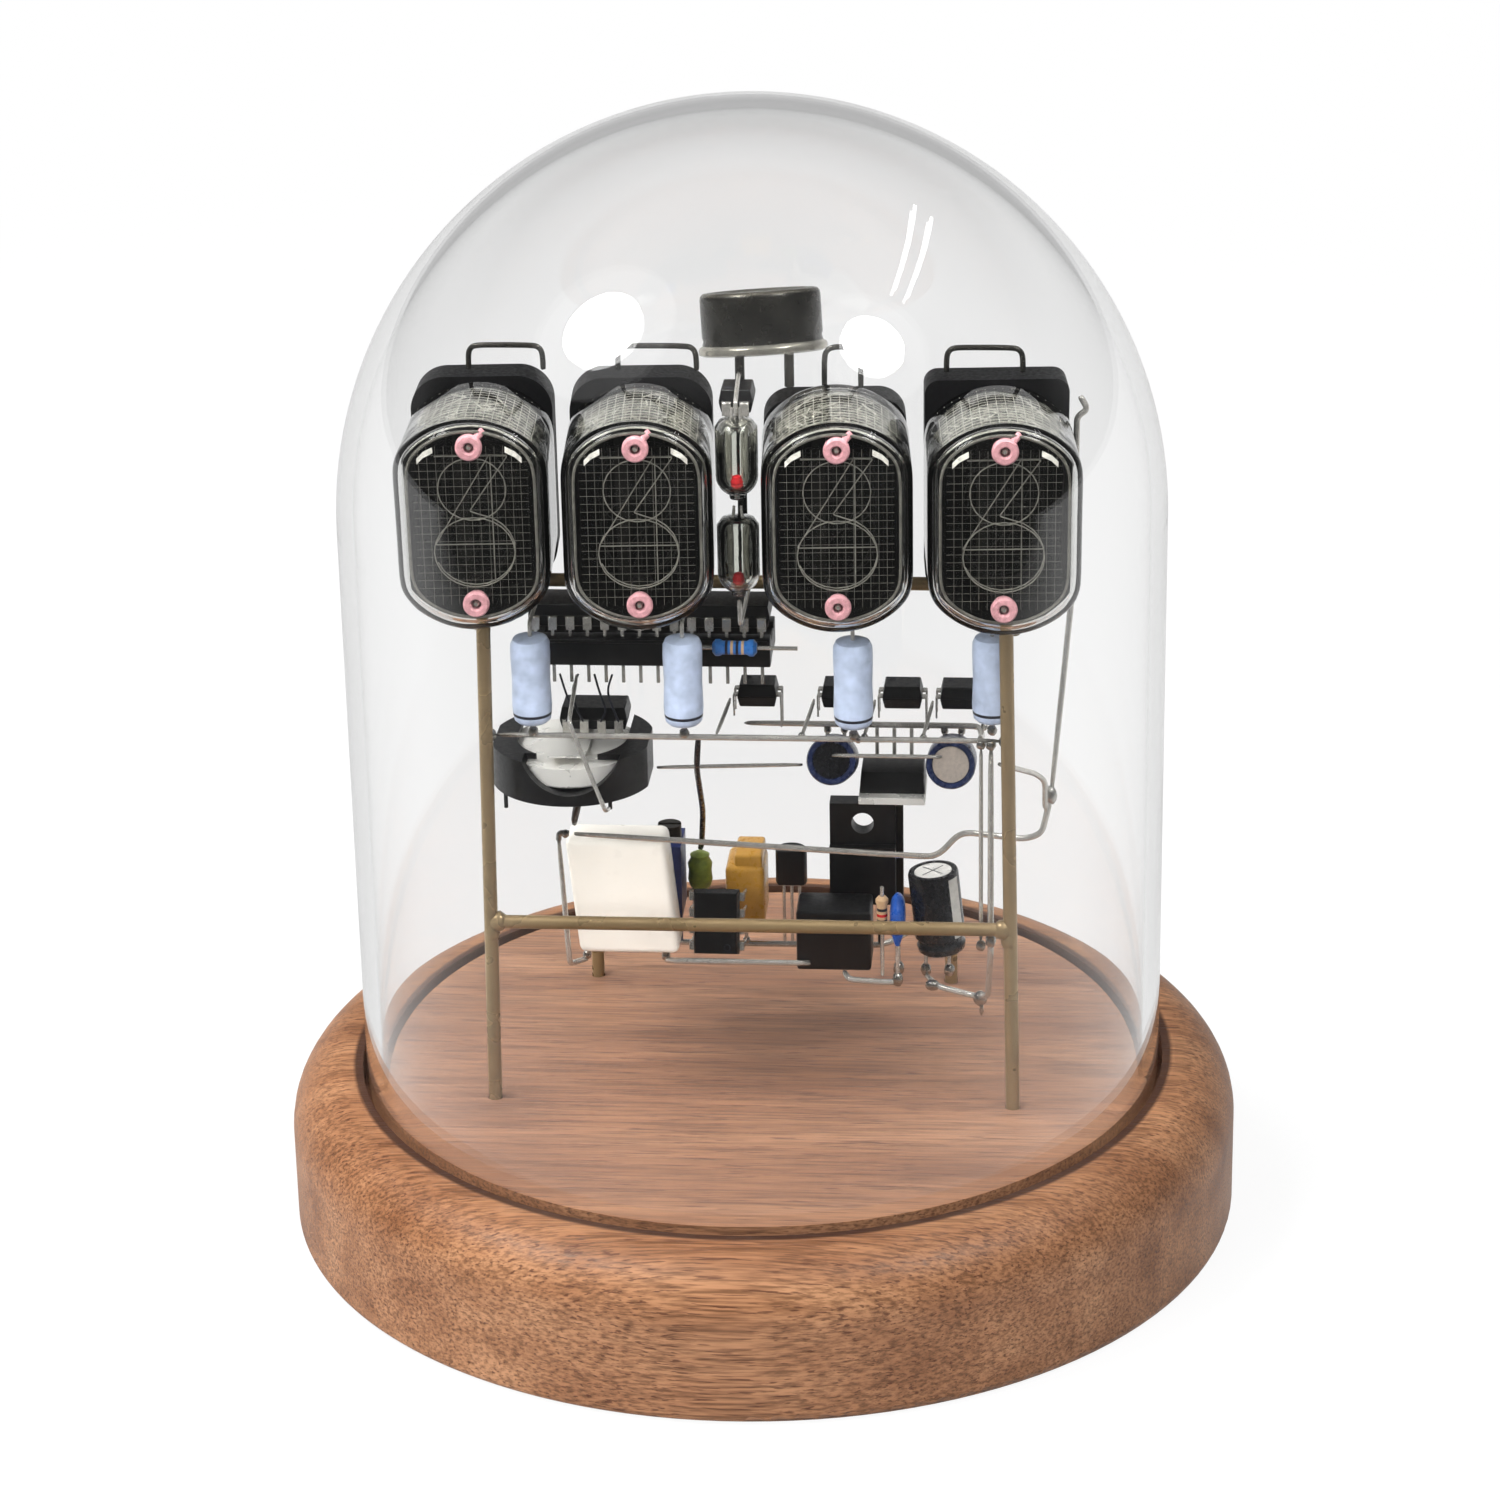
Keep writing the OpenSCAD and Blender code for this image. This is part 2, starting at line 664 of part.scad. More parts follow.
anode_x = [-30.7, -8.9, 15.4, leg_x - 2];
anode_y = [bus_y, bus_y, bus_y, -leg_y + rod_r + anode_resistor_d / 2 + 0.4];
anode_bottom_z = upper_bus_z + 2.1;

module anode_resistors() {
    color("#a9b4c6") for (i = [0 : 3])
        on_wood(anode_x[i], anode_y[i], anode_bottom_z) {
            cylinder(d = anode_resistor_d, h = anode_resistor_len);
            translate([0, 0, -1.3]) cylinder(d = lead_d, h = 1.5);
            rise = rail_z - anode_bottom_z;
            translate([0, 0, anode_resistor_len - 0.5])
                cylinder(d = lead_d, h = rise - anode_resistor_len + 0.5 + lead_r);
            translate([0, rail_y - rod_r - joint_gap - anode_y[i], rise]) rotate([90, 0, 0])
                cylinder(d = lead_d, h = rail_y - rod_r - joint_gap - anode_y[i]);
        }
}

module digit_decoder() {
    color(plastic) on_wood(-15.7, tube_base_back_y + 3.4, rail_z + 6)
        rotate([-90, 0, 0]) rotate([0, 0, 90]) dip(8, 6.5, 3, 3);
}

// The microcontroller sits in a chip socket
module microcontroller() {
    color(plastic) on_wood(-14.9, micro_y, micro_z) {
        difference() {
            translate([-chip_socket.x / 2, -chip_socket.y / 2, 0]) cube(chip_socket);
            translate([-chip_socket.x / 2 + 2, -2, -1])
                cube([chip_socket.x - 4, 4, chip_socket.z + 2]);
        }
        translate([0, 0, chip_socket.z + 0.9]) dip(14, 7, 1.2, 1.2);
        for (i = [0 : 13], side = [-1, 1])
            lead_down((i - 6.5) * dip_pitch, side * 3.8, 0.4, 3, 0.5);
    }
}

module optocouplers() {
    drop = opto_z - second_bus_z - bus_r - joint_gap;
    color(plastic) {
        // in the row each one shows its end, with its pins to the left and right
        for (x = opto_x) on_wood(x, opto_y, opto_z) rotate([0, 0, -90]) dip(2, opto_d - 0.6, drop, 1.6);
        // a longer chip stands on the coin cell's holder
        on_wood(-23.2, rtc_y, holder_z + holder_h + 0.7) dip(4, opto_d - 0.6, 0.5, 0.5);
        // the colon's one is between the middle tubes, in front of the can's lead
        on_wood((tube_x[1] + tube_x[2]) / 2 - 1.45, opto_top_y, tube_z + 11.4)
            dip(2, opto_d - 0.6, 1.4, 1.4);
    }
}

module coin_holder() {
    r = holder_r;
    pocket_r = cell_d / 2 + cell_gap;
    color(plastic) on_wood(cell_x, cell_y, holder_z) {
        difference() {
            intersection() {
                cylinder(r = r + 0.6, h = holder_h, $fn = 96);
                translate([-r, -r - 1, 0]) cube([2 * r, 2 * r + 0.5, holder_h]);
            }
            translate([0, 0, cell_floor]) {
                cylinder(r = pocket_r, h = cell_t + 2 * cell_gap, $fn = 96);
                translate([-pocket_r, 0, 0]) cube([2 * pocket_r, r + 2, cell_t + 2 * cell_gap]);
                cylinder(r = pocket_r - 2.2, h = holder_h, $fn = 96);
                translate([-pocket_r + 2.2, 0, 0]) cube([2 * pocket_r - 4.4, r + 2, holder_h]);
            }
            // the front wall dips in a curve, which shows the cell
            translate([0.8, -r + 4.5, holder_h + 3]) rotate([90, 0, 0]) cylinder(r = 7.6, h = 6.5, $fn = 96);
        }
        for (x = [-9.2, 6]) lead_down(x, -6.5, 0.5, 3);
    }
}

module coin_cell() {
    color(tin) on_wood(cell_x, cell_y, holder_z + cell_floor + cell_gap) {
        cylinder(d = cell_d - 1.6, h = cell_t, $fn = 96);
        translate([0, 0, 0.5]) cylinder(d = cell_d, h = cell_t - 0.5, $fn = 96);
    }
}

small_cap_x = [11.9, 29.1];
// How far they tip up towards the viewer
small_cap_tilt = [20, 16];
small_cap_z = upper_bus_z - bus_r - joint_gap - small_cap_d / 2 - 2.4;
small_cap_len = 11;
small_cap_y = second_bus_y - bus_r - joint_gap - 1;

module small_capacitors() {
    half = small_cap_len / 2;
    centre_y = small_cap_y - half;
    end = [0, second_bus_y - centre_y - 0.15, second_bus_z - bus_r - lead_r - joint_gap - small_cap_z];
    color("#1d2740") for (i = [0, 1]) on_wood(small_cap_x[i], centre_y, small_cap_z) let (t = small_cap_tilt[i]) {
        rotate([90 - t, 0, 0]) difference() {
            cylinder(d = small_cap_d, h = small_cap_len, center = true);
            translate([0, 0, half - 0.3]) cylinder(d = small_cap_d - 1.6, h = 1);
        }
        for (x = [-1.25, 1.25])
            lead_between([x, half * cos(t) - 0.4, 1 - half * sin(t)], end + [x, 0, 0]);
    }
}

regulator_x = 20.45;
regulator_z = small_cap_z - 5.8;

module voltage_regulator() {
    color(plastic) on_wood(regulator_x, -2, regulator_z) {
        translate([-4.8, -7.4, 0.6]) cube([9.6, 7.4, 3.4]);
        translate([-4.8, -8.6, -0.4]) cube([9.6, 8.6, 1.1]);
        for (x = [-dip_pitch, 0, dip_pitch]) {
            translate([x, 0, 2.5]) rotate([-90, 0, 0]) cylinder(d = lead_d, h = 0.6);
            translate([x, 0.6, 2.2])
                cylinder(d = lead_d, h = second_bus_z - bus_r - joint_gap - regulator_z - 2.2);
        }
    }
}

blue_resistor_z = micro_z + 4.6;
blue_resistor_y = -12;

module axial_body(d, length) {
    cylinder(d = d * 0.82, h = length);
    cylinder(d = d, h = length * 0.22);
    translate([0, 0, length * 0.78]) cylinder(d = d, h = length * 0.22);
}

module small_resistors() {
    color("#3f6fb0") on_wood(-5.1, blue_resistor_y, blue_resistor_z) rotate([0, 90, 0]) {
        axial_body(2.4, 6.5);
        translate([0, 0, -5]) cylinder(d = lead_d, h = 17.3);
    }
    color("#c39a6b") on_wood(disc_x - 2.3, front_plane_y + 1, disc_z - 2.4) {
        axial_body(1.8, 6);
        translate([0, 0, second_wire_z + 0.1 - disc_z + 2.4])
            cylinder(d = lead_d, h = disc_z - second_wire_z + 5);
    }
}

// ---------- lower electronics ----------

module white_capacitor() {
    color("#f0ece0") on_wood(white_x, front_plane_y - 1.5 + white_d / 2, white_z) {
        leaning(white_lean, white_h) rounded_box([white_w, white_d, white_h], 1.2);
        for (side = [-1, 1]) lead_down(side * (white_w / 2 - 1.5), 0, 1.5, 3.3);
    }
}

// It stands on end and leans back, with its pins towards the back
module boost_controller() {
    color(plastic) on_wood(-6.6, front_plane_y + dip_t + 0.3, lower_bus_z - 0.7)
        rotate([78, 0, 0]) translate([0, 2 * dip_pitch, 0]) rotate([0, 0, 90]) dip(4, 7, 3.2, 3.2);
}

module boost_inductor() {
    color(plastic) on_wood(inductor_x, front_plane_y + inductor_d / 2, inductor_z) {
        rounded_box([inductor_w, inductor_d, inductor_h], 1);
        for (side = [-1, 1]) lead_down(side * 4, 2, 0.5, 2.4);
    }
}

module boost_mosfet() {
    body = [10, 4.5, 16];
    color(plastic) on_wood(mosfet_x, rear_bus_y, mosfet_z) {
        difference() {
            translate([-body.x / 2, -body.y / 2 - 0.3, 0]) cube(body);
            translate([0, body.y, body.z - 3.2]) rotate([90, 0, 0]) cylinder(d = 3.4, h = 2 * body.y + 2);
            translate([-body.x / 2 - 1, -body.y / 2 - 1.3, 9.4]) cube([body.x + 2, 2.4, body.z]);
        }
        for (x = [-dip_pitch, 0, dip_pitch])
            lead_down(x, 0, 0.5, mosfet_z + 0.5 - rear_bus_z - bus_r - joint_gap, 0.8);
    }
}

module reservoir_capacitor() {
    color(plastic) on_wood(reservoir_x, reservoir_y, reservoir_z) {
        leaning(reservoir_lean, reservoir_h) difference() {
            cylinder(d = reservoir_d, h = reservoir_h);
            translate([0, 0, reservoir_h - 0.3]) cylinder(d = reservoir_d - 1.6, h = 1);
        }
        for (side = [-1, 1]) lead_down(side * 1.75, 0, 1, 4.4);
    }
}

module yellow_capacitor() {
    size = [6, 8.5, 11.5];
    color("#d39a33") on_wood(-3.1, rear_bus_y - 1.2 + size.y / 2, rear_bus_z + 3.5) {
        rounded_box(size, 0.7);
        lead_down(0, 1.2 - size.y / 2, 0.5, 3.4);
        lead_down(0, size.y / 2 - 1.2, 0.5, 3.4);
    }
}

module green_capacitor() {
    color("#8a9a4a") on_wood(green_x, rear_bus_y, green_z) {
        rounded_box([3.6, 3, 5.4], 0.6);
        translate([0, 0, green_h - 1.2]) cylinder(d = 2.6, h = 1.2);
        for (side = [-1, 1]) lead_down(side * 1, 0, 0.5, 8.9);
    }
}

module trimmer_body() {
    color("#2b3566") on_wood(trimmer_x, trimmer_y, trimmer_z) {
        difference() {
            translate([-trimmer_size.x / 2, -trimmer_size.y / 2, 0]) cube(trimmer_size);
            translate([screw_x, 0, trimmer_size.z - 1.5]) cylinder(d = 2.2, h = 3);
        }
        for (x = [-2, 0, 2])
            lead_down(x, rear_bus_y - trimmer_y, 0.5, trimmer_z + 0.5 - rear_bus_z - bus_r - joint_gap);
    }
}

// The screw's head stands over the body, and its shaft goes into it
module trimmer_screw() {
    color("#2a2a2a") on_wood(trimmer_x + screw_x, trimmer_y, trimmer_z + trimmer_size.z) difference() {
        union() {
            translate([0, 0, 0.3]) cylinder(d = 3.6, h = 2);
            translate([0, 0, -1.2]) cylinder(d = 1.6, h = 2);
        }
        translate([-3, -0.3, 1.3]) cube([6, 0.6, 2]);
    }
}

module small_transistor() {
    color(plastic) on_wood(4, rear_bus_y, rear_bus_z + 10.4) {
        difference() {
            cylinder(d = 4.8, h = 5.6);
            translate([-4, -2.4 - 2.9 + 1.2, -1]) cube([8, 2.9, 8]);
        }
        for (x = [-1.2, 0, 1.2])
            lead_down(x, 0, 0.5, 10.9 - bus_r - joint_gap);
    }
}

module disc_capacitor() {
    color("#2f5fb0") on_wood(disc_x, front_plane_y + 2, disc_z) {
        rotate([0, 90, 0]) translate([0, 0, -1.15]) cylinder(d = 7, h = 2.3);
        for (y = [-2, 2])
            lead_down(0, y, -2, disc_z - 2 - second_wire_z - 0.1);
    }
}

// ---------- wires ----------

module upper_bus() {
    a = [-leg_x, bus_y, upper_bus_z];
    color(tin) on_wood() {
        wire([a, [leg_x, bus_y, upper_bus_z]], bus_d);
        wire([[-2, second_bus_y, second_bus_z], [33, second_bus_y, second_bus_z],
              [33.4, second_bus_y - 4, second_bus_z], [33.4, bus_y + bus_d + 0.1, upper_bus_z]], bus_d);
        // links from the optocouplers' left pins to the bus
        for (x = opto_x)
            wire([[x - opto_d / 2 - 0.7, opto_y - dip_pitch / 2, opto_z + 1],
                  [x - 5, bus_y + bus_r + 0.4, upper_bus_z]], lead_d);
        // from the rail under the tubes down to the microcontroller's rear pins
        for (x = [-27, -19.2, -9])
            wire([[x, rail_y + rod_r + lead_r + 0.1, rail_z],
                  [x, micro_y + chip_socket.y / 2 + 0.6, micro_z + chip_socket.z + 0.6],
                  [x, micro_y + chip_socket.y / 2 + 0.6, micro_z - 0.6],
                  [x, micro_y + 4.6, micro_z - 1.4]], lead_d, 0.6);
        // from the microcontroller to the coin cell's holder, in front of it
        wire([[-25.4, micro_y - 4.7, micro_z - 1.5], [-25.2, -leg_y - 0.8, micro_z - 4],
              [cell_x + 6, cell_y - holder_r - 0.9, holder_z - 0.5],
              [cell_x + 6, cell_y - 7.3, holder_z - 2]], lead_d, 1.2);
        // from the holder to the first small capacitor
        wire([[cell_x + holder_r + 0.4, cell_y, holder_z + 1.4],
              [small_cap_x[0] - small_cap_d / 2 - 0.4, cell_y, small_cap_z - 1]], lead_d);
        // between the two small capacitors
        wire([[small_cap_x[0], -14.4, small_cap_z + small_cap_d / 2 - 0.6],
              [small_cap_x[1] - 1, -14.4, small_cap_z + small_cap_d / 2 - 0.6]], lead_d);
        // from the blue resistor back to the microcontroller
        wire([[-10.5, blue_resistor_y + 0.1, blue_resistor_z],
              [-10.5, micro_y - chip_socket.y / 2 - lead_r - joint_gap, micro_z + 3]], lead_d);
    }
}

module lower_bus() {
    w1 = front_plane_y - bus_r - joint_gap;
    color(tin) on_wood() {
        // under the boost controller, from the white capacitor to the inductor
        wire([[white_x + white_w / 2 - 1.5, front_plane_y - 1.5 + white_d / 2, white_z - 2.5],
              [white_x + white_w / 2, w1, lower_bus_z - 0.3], [inductor_x - 3, w1, lower_bus_z - 0.3]], bus_d);
        // from the inductor to the disc capacitor
        wire([[inductor_x + 1.5, w1 + 1.8, inductor_z - bus_r - 0.2], [inductor_x + 2.2, w1, second_wire_z],
              [disc_x - 2, w1 + 0.4, second_wire_z - bus_r - 0.1], [disc_x, front_plane_y, second_wire_z - bus_r - 0.1]],
            bus_d);
        // from the reservoir capacitor, up behind the crossbar to the upper bus
        wire([[reservoir_x - 1.75, reservoir_y, reservoir_z - 3.95 - bus_r], [reservoir_x, -3, reservoir_z - 3.9],
              [33, -5, reservoir_z - 4.6], [34.4, -9, reservoir_z - 2.5],
              [34.9, bus_y + 0.3, crossbar_z - 5], [34.9, bus_y + 0.3, upper_bus_z - bus_d - 0.1]], bus_d);
        wire([[33.5, bus_y + 0.2, crossbar_z - 3], [33.5, bus_y + 0.2, upper_bus_z - bus_d - 0.1]], lead_d);
        // the wire that joins the rear posts
        wire([[-post_x + rod_r + 0.6, post_y, rear_bus_z], [trimmer_x - 3, rear_bus_y, rear_bus_z],
              [mosfet_x + 3.5, rear_bus_y, rear_bus_z], [post_x - rod_r - 0.6, post_y, rear_bus_z]], bus_d, 3);
    }
}

loop_feet = [[-3.6, 7.2], [-5, 6.3], [-3.2, 2], [-8.8, 2]];
loop_top_z = tube_z + tube_h / 2 + 3.6;

module loop_wires() {
    color(tin) on_wood() for (n = [0 : 3])
        let (a = tube_x[n] + loop_feet[n][0], b = tube_x[n] + loop_feet[n][1],
             foot_z = tube_base_top_z - tube_base_drop[n] + joint_gap)
        wire([[a, rail_y, foot_z], [a, rail_y, loop_top_z],
              [b, rail_y, loop_top_z], [b, rail_y, foot_z]], 0.8, 1.8);
}

hook = [43.5, -2.8, long_wire_z + 6.4];
side_x = tube_x[3] - (tube_base_front_y + tube_base_t / 2 + face_y) * sin(tube_turn)
    + (tube_w - tube_base_inset) / 2 + 1.3;

module long_wire() {
    y = front_plane_y - 1.5 - bus_d;
    left = white_x - white_w / 2 - bus_r - 0.4;
    color(tin) on_wood() {
        // along the top of the white capacitor to the right, then up into the hook
        wire([[left + 0.4, y, long_wire_z], [26.8, y, long_wire_z - 3.1], [30.2, y + 0.6, long_wire_z + 0.9],
              [34, y + 1, long_wire_z + 0.3], [39.8, y + 1.9, long_wire_z - 0.7],
              [42.2, y + 2, long_wire_z + 0.2], hook - [0.2, 0.4, 0.9]], bus_d, 2);
        // tall rod from the hook up beside the last tube's base, with a small hook on top
        wire([hook, [side_x - 0.3, rail_y, rail_z - 1], [side_x, rail_y, rail_z + 10],
              [side_x, rail_y, tube_z + 9],
              [side_x + 1.6, rail_y, tube_z + 10], [side_x + 0.4, rail_y, tube_z + 12]], bus_d, 1);
        // link from the upper bus to the hook
        wire([[leg_x - 1.2, bus_y + bus_d + 0.3, upper_bus_z - 4], [leg_x + 4.2, -5, long_wire_z + 10.6],
              [leg_x + 5.6, -3.9, long_wire_z + 9], hook - [0.9, 1, -0.6], hook - [0.9, 0.6, 2]], 0.8, 1.5);
        // left end: down beside the white capacitor and under it
        wire([[left - 0.7, y, long_wire_z - 0.6], [left + 0.2, y + 0.4, white_z - 1.4],
              [white_x - white_w / 2 - 0.4, y + 2.6, white_z - 2.4],
              [white_x - white_w / 2 + 1.5, front_plane_y - 1.5 + white_d / 2, white_z - 2.5]], 0.8, 2);
        // dark strip from the holder's underside to the left end
        wire([[cell_x + 1.4, -11.5, holder_z - 0.7], [left + 1.5, y + 0.2, long_wire_z + bus_r + 0.8]], 1.2);
    }
}
module signal_cable() {
    color("#1a1a1a") on_wood() wire([[-7, bus_y + bus_d + 0.1, upper_bus_z - 0.4],
        [-7.6, bus_y + 3, upper_bus_z - 6], [-8.4, 2, (upper_bus_z + green_z) / 2 - 1.3],
        [green_x + 0.4, rear_bus_y - 0.6, green_z + green_h + 1.6],
        [green_x + 0.1, rear_bus_y, green_z + green_h + 0.6]], 0.9, 4);
}

// ---------- nodes ----------

wood_base();
glass_dome();
power_inlet();
feed_wires();
leg(-1);  // leg_left
leg(1);  // leg_right
rear_posts();
front_crossbar();
side_rails();
base_rail();
tube_glass(0);  // tube_glass_1
tube_glass(1);  // tube_glass_2
tube_glass(2);  // tube_glass_3
tube_glass(3);  // tube_glass_4
tube_shield(0);  // tube_shield_1
tube_shield(1);  // tube_shield_2
tube_shield(2);  // tube_shield_3
tube_shield(3);  // tube_shield_4
anode_mesh(0);  // anode_mesh_1
anode_mesh(1);  // anode_mesh_2
anode_mesh(2);  // anode_mesh_3
anode_mesh(3);  // anode_mesh_4
digit_stack(0);  // digit_stack_1
digit_stack(1);  // digit_stack_2
digit_stack(2);  // digit_stack_3
digit_stack(3);  // digit_stack_4
ceramic_spacers();
tube_pins();
tube_base(0);  // tube_base_1
tube_base(1);  // tube_base_2
tube_base(2);  // tube_base_3
tube_base(3);  // tube_base_4
neon_glass();
neon_electrodes();
metal_can();
anode_resistors();
digit_decoder();
microcontroller();
optocouplers();
coin_holder();
coin_cell();
small_capacitors();
voltage_regulator();
boost_mosfet();
boost_inductor();
boost_controller();
white_capacitor();
yellow_capacitor();
green_capacitor();
trimmer_body();
trimmer_screw();
small_transistor();
disc_capacitor();
small_resistors();
reservoir_capacitor();
upper_bus();
lower_bus();
loop_wires();
long_wire();
signal_cable();
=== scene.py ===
"""Looks of the nixie tube clock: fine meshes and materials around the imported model.

Lengths in the shape code are millimetres in the model's own frame, and MM turns them into
metres. Heights are measured from the underside of the base.
"""
import math
import random

import bmesh
import bpy
from mathutils import Matrix, Vector

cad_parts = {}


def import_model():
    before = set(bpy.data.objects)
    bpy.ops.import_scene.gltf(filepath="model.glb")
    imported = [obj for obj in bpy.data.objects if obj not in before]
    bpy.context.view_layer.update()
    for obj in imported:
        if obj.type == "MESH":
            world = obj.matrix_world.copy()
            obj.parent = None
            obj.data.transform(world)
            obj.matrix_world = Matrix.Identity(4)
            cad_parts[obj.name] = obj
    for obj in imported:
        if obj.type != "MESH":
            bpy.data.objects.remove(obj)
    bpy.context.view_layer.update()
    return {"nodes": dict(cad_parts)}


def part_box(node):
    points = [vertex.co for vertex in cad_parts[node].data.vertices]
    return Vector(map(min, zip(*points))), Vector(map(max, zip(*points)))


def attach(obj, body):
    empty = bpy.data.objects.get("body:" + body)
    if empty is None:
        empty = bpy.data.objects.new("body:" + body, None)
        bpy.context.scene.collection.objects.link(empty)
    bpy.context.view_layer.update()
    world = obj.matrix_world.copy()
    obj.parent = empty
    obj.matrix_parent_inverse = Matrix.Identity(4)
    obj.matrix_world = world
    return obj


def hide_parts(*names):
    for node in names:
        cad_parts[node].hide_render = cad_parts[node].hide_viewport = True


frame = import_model()
MM = 0.001
DICE = random.Random(7)

# ---------- places, from the frame ----------


def corners(node):
    """Lowest corner, highest corner and centre of a node, in millimetres."""
    low, high = (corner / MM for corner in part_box(node))
    return low, high, (low + high) / 2


def solids(node):
    """Corners and centre of each separate solid of a node, from left to right."""
    shape = bmesh.new()
    shape.from_mesh(frame["nodes"][node].data)
    bmesh.ops.remove_doubles(shape, verts=shape.verts, dist=1e-6)
    seen, found = set(), []
    for start in shape.verts:
        if start in seen:
            continue
        seen.add(start)
        group, queue = [], [start]
        while queue:
            vert = queue.pop()
            group.append(vert.co / MM)
            for edge in vert.link_edges:
                other = edge.other_vert(vert)
                if other not in seen:
                    seen.add(other)
                    queue.append(other)
        low, high = (Vector([pick(p[i] for p in group) for i in range(3)]) for pick in (min, max))
        found.append((low, high, (low + high) / 2))
    shape.free()
    return sorted(found, key=lambda solid: solid[2].x)


WOOD_TOP = corners("wood_base")[1].z
BUS_Z = WOOD_TOP + 57.6
TUBE_TURN = math.radians(4)
FACE_Y = -25.0
TUBE_W, TUBE_H, TUBE_DEPTH, TUBE_ARCH, TUBE_WALL = 21.0, 31.0, 22.0, 12.5, 1.0
ARCH_CENTRE = TUBE_H / 2 - TUBE_ARCH
COLON_GAP, PAIR_GAP = 6.8, 2.0
TUBE_Z = WOOD_TOP + 91.5
TUBE_X = [side * (COLON_GAP / 2 + TUBE_W / 2 + k * (TUBE_W + PAIR_GAP))
          for side, k in ((-1, 1), (-1, 0), (1, 0), (1, 1))]
# radius of the component leads, the bus wires and the brass rods
LEAD, BUS, ROD = 0.3, 0.45, 1.0


def at(x=0.0, y=0.0, z=0.0, rx=0.0, ry=0.0, rz=0.0):
    """Placement in millimetres and degrees."""
    turn = (Matrix.Rotation(math.radians(rz), 4, "Z") @ Matrix.Rotation(math.radians(ry), 4, "Y")
            @ Matrix.Rotation(math.radians(rx), 4, "X"))
    return Matrix.Translation((x, y, z)) @ turn


def tube_place(index):
    """Frame of a tube: x to the right, y back from its front face, z up from its centre."""
    turn = Matrix.Rotation(TUBE_TURN, 4, "Z")
    return Matrix.Translation((TUBE_X[index], FACE_Y, TUBE_Z)) @ turn


# ---------- mesh building ----------


def placed(mesh, name, body, replaces):
    """Puts a mesh into the scene as a piece that rides on its body."""
    piece = bpy.data.objects.new(name, mesh)
    bpy.context.scene.collection.objects.link(piece)
    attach(piece, body)
    if replaces:
        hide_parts(*replaces)
    return piece


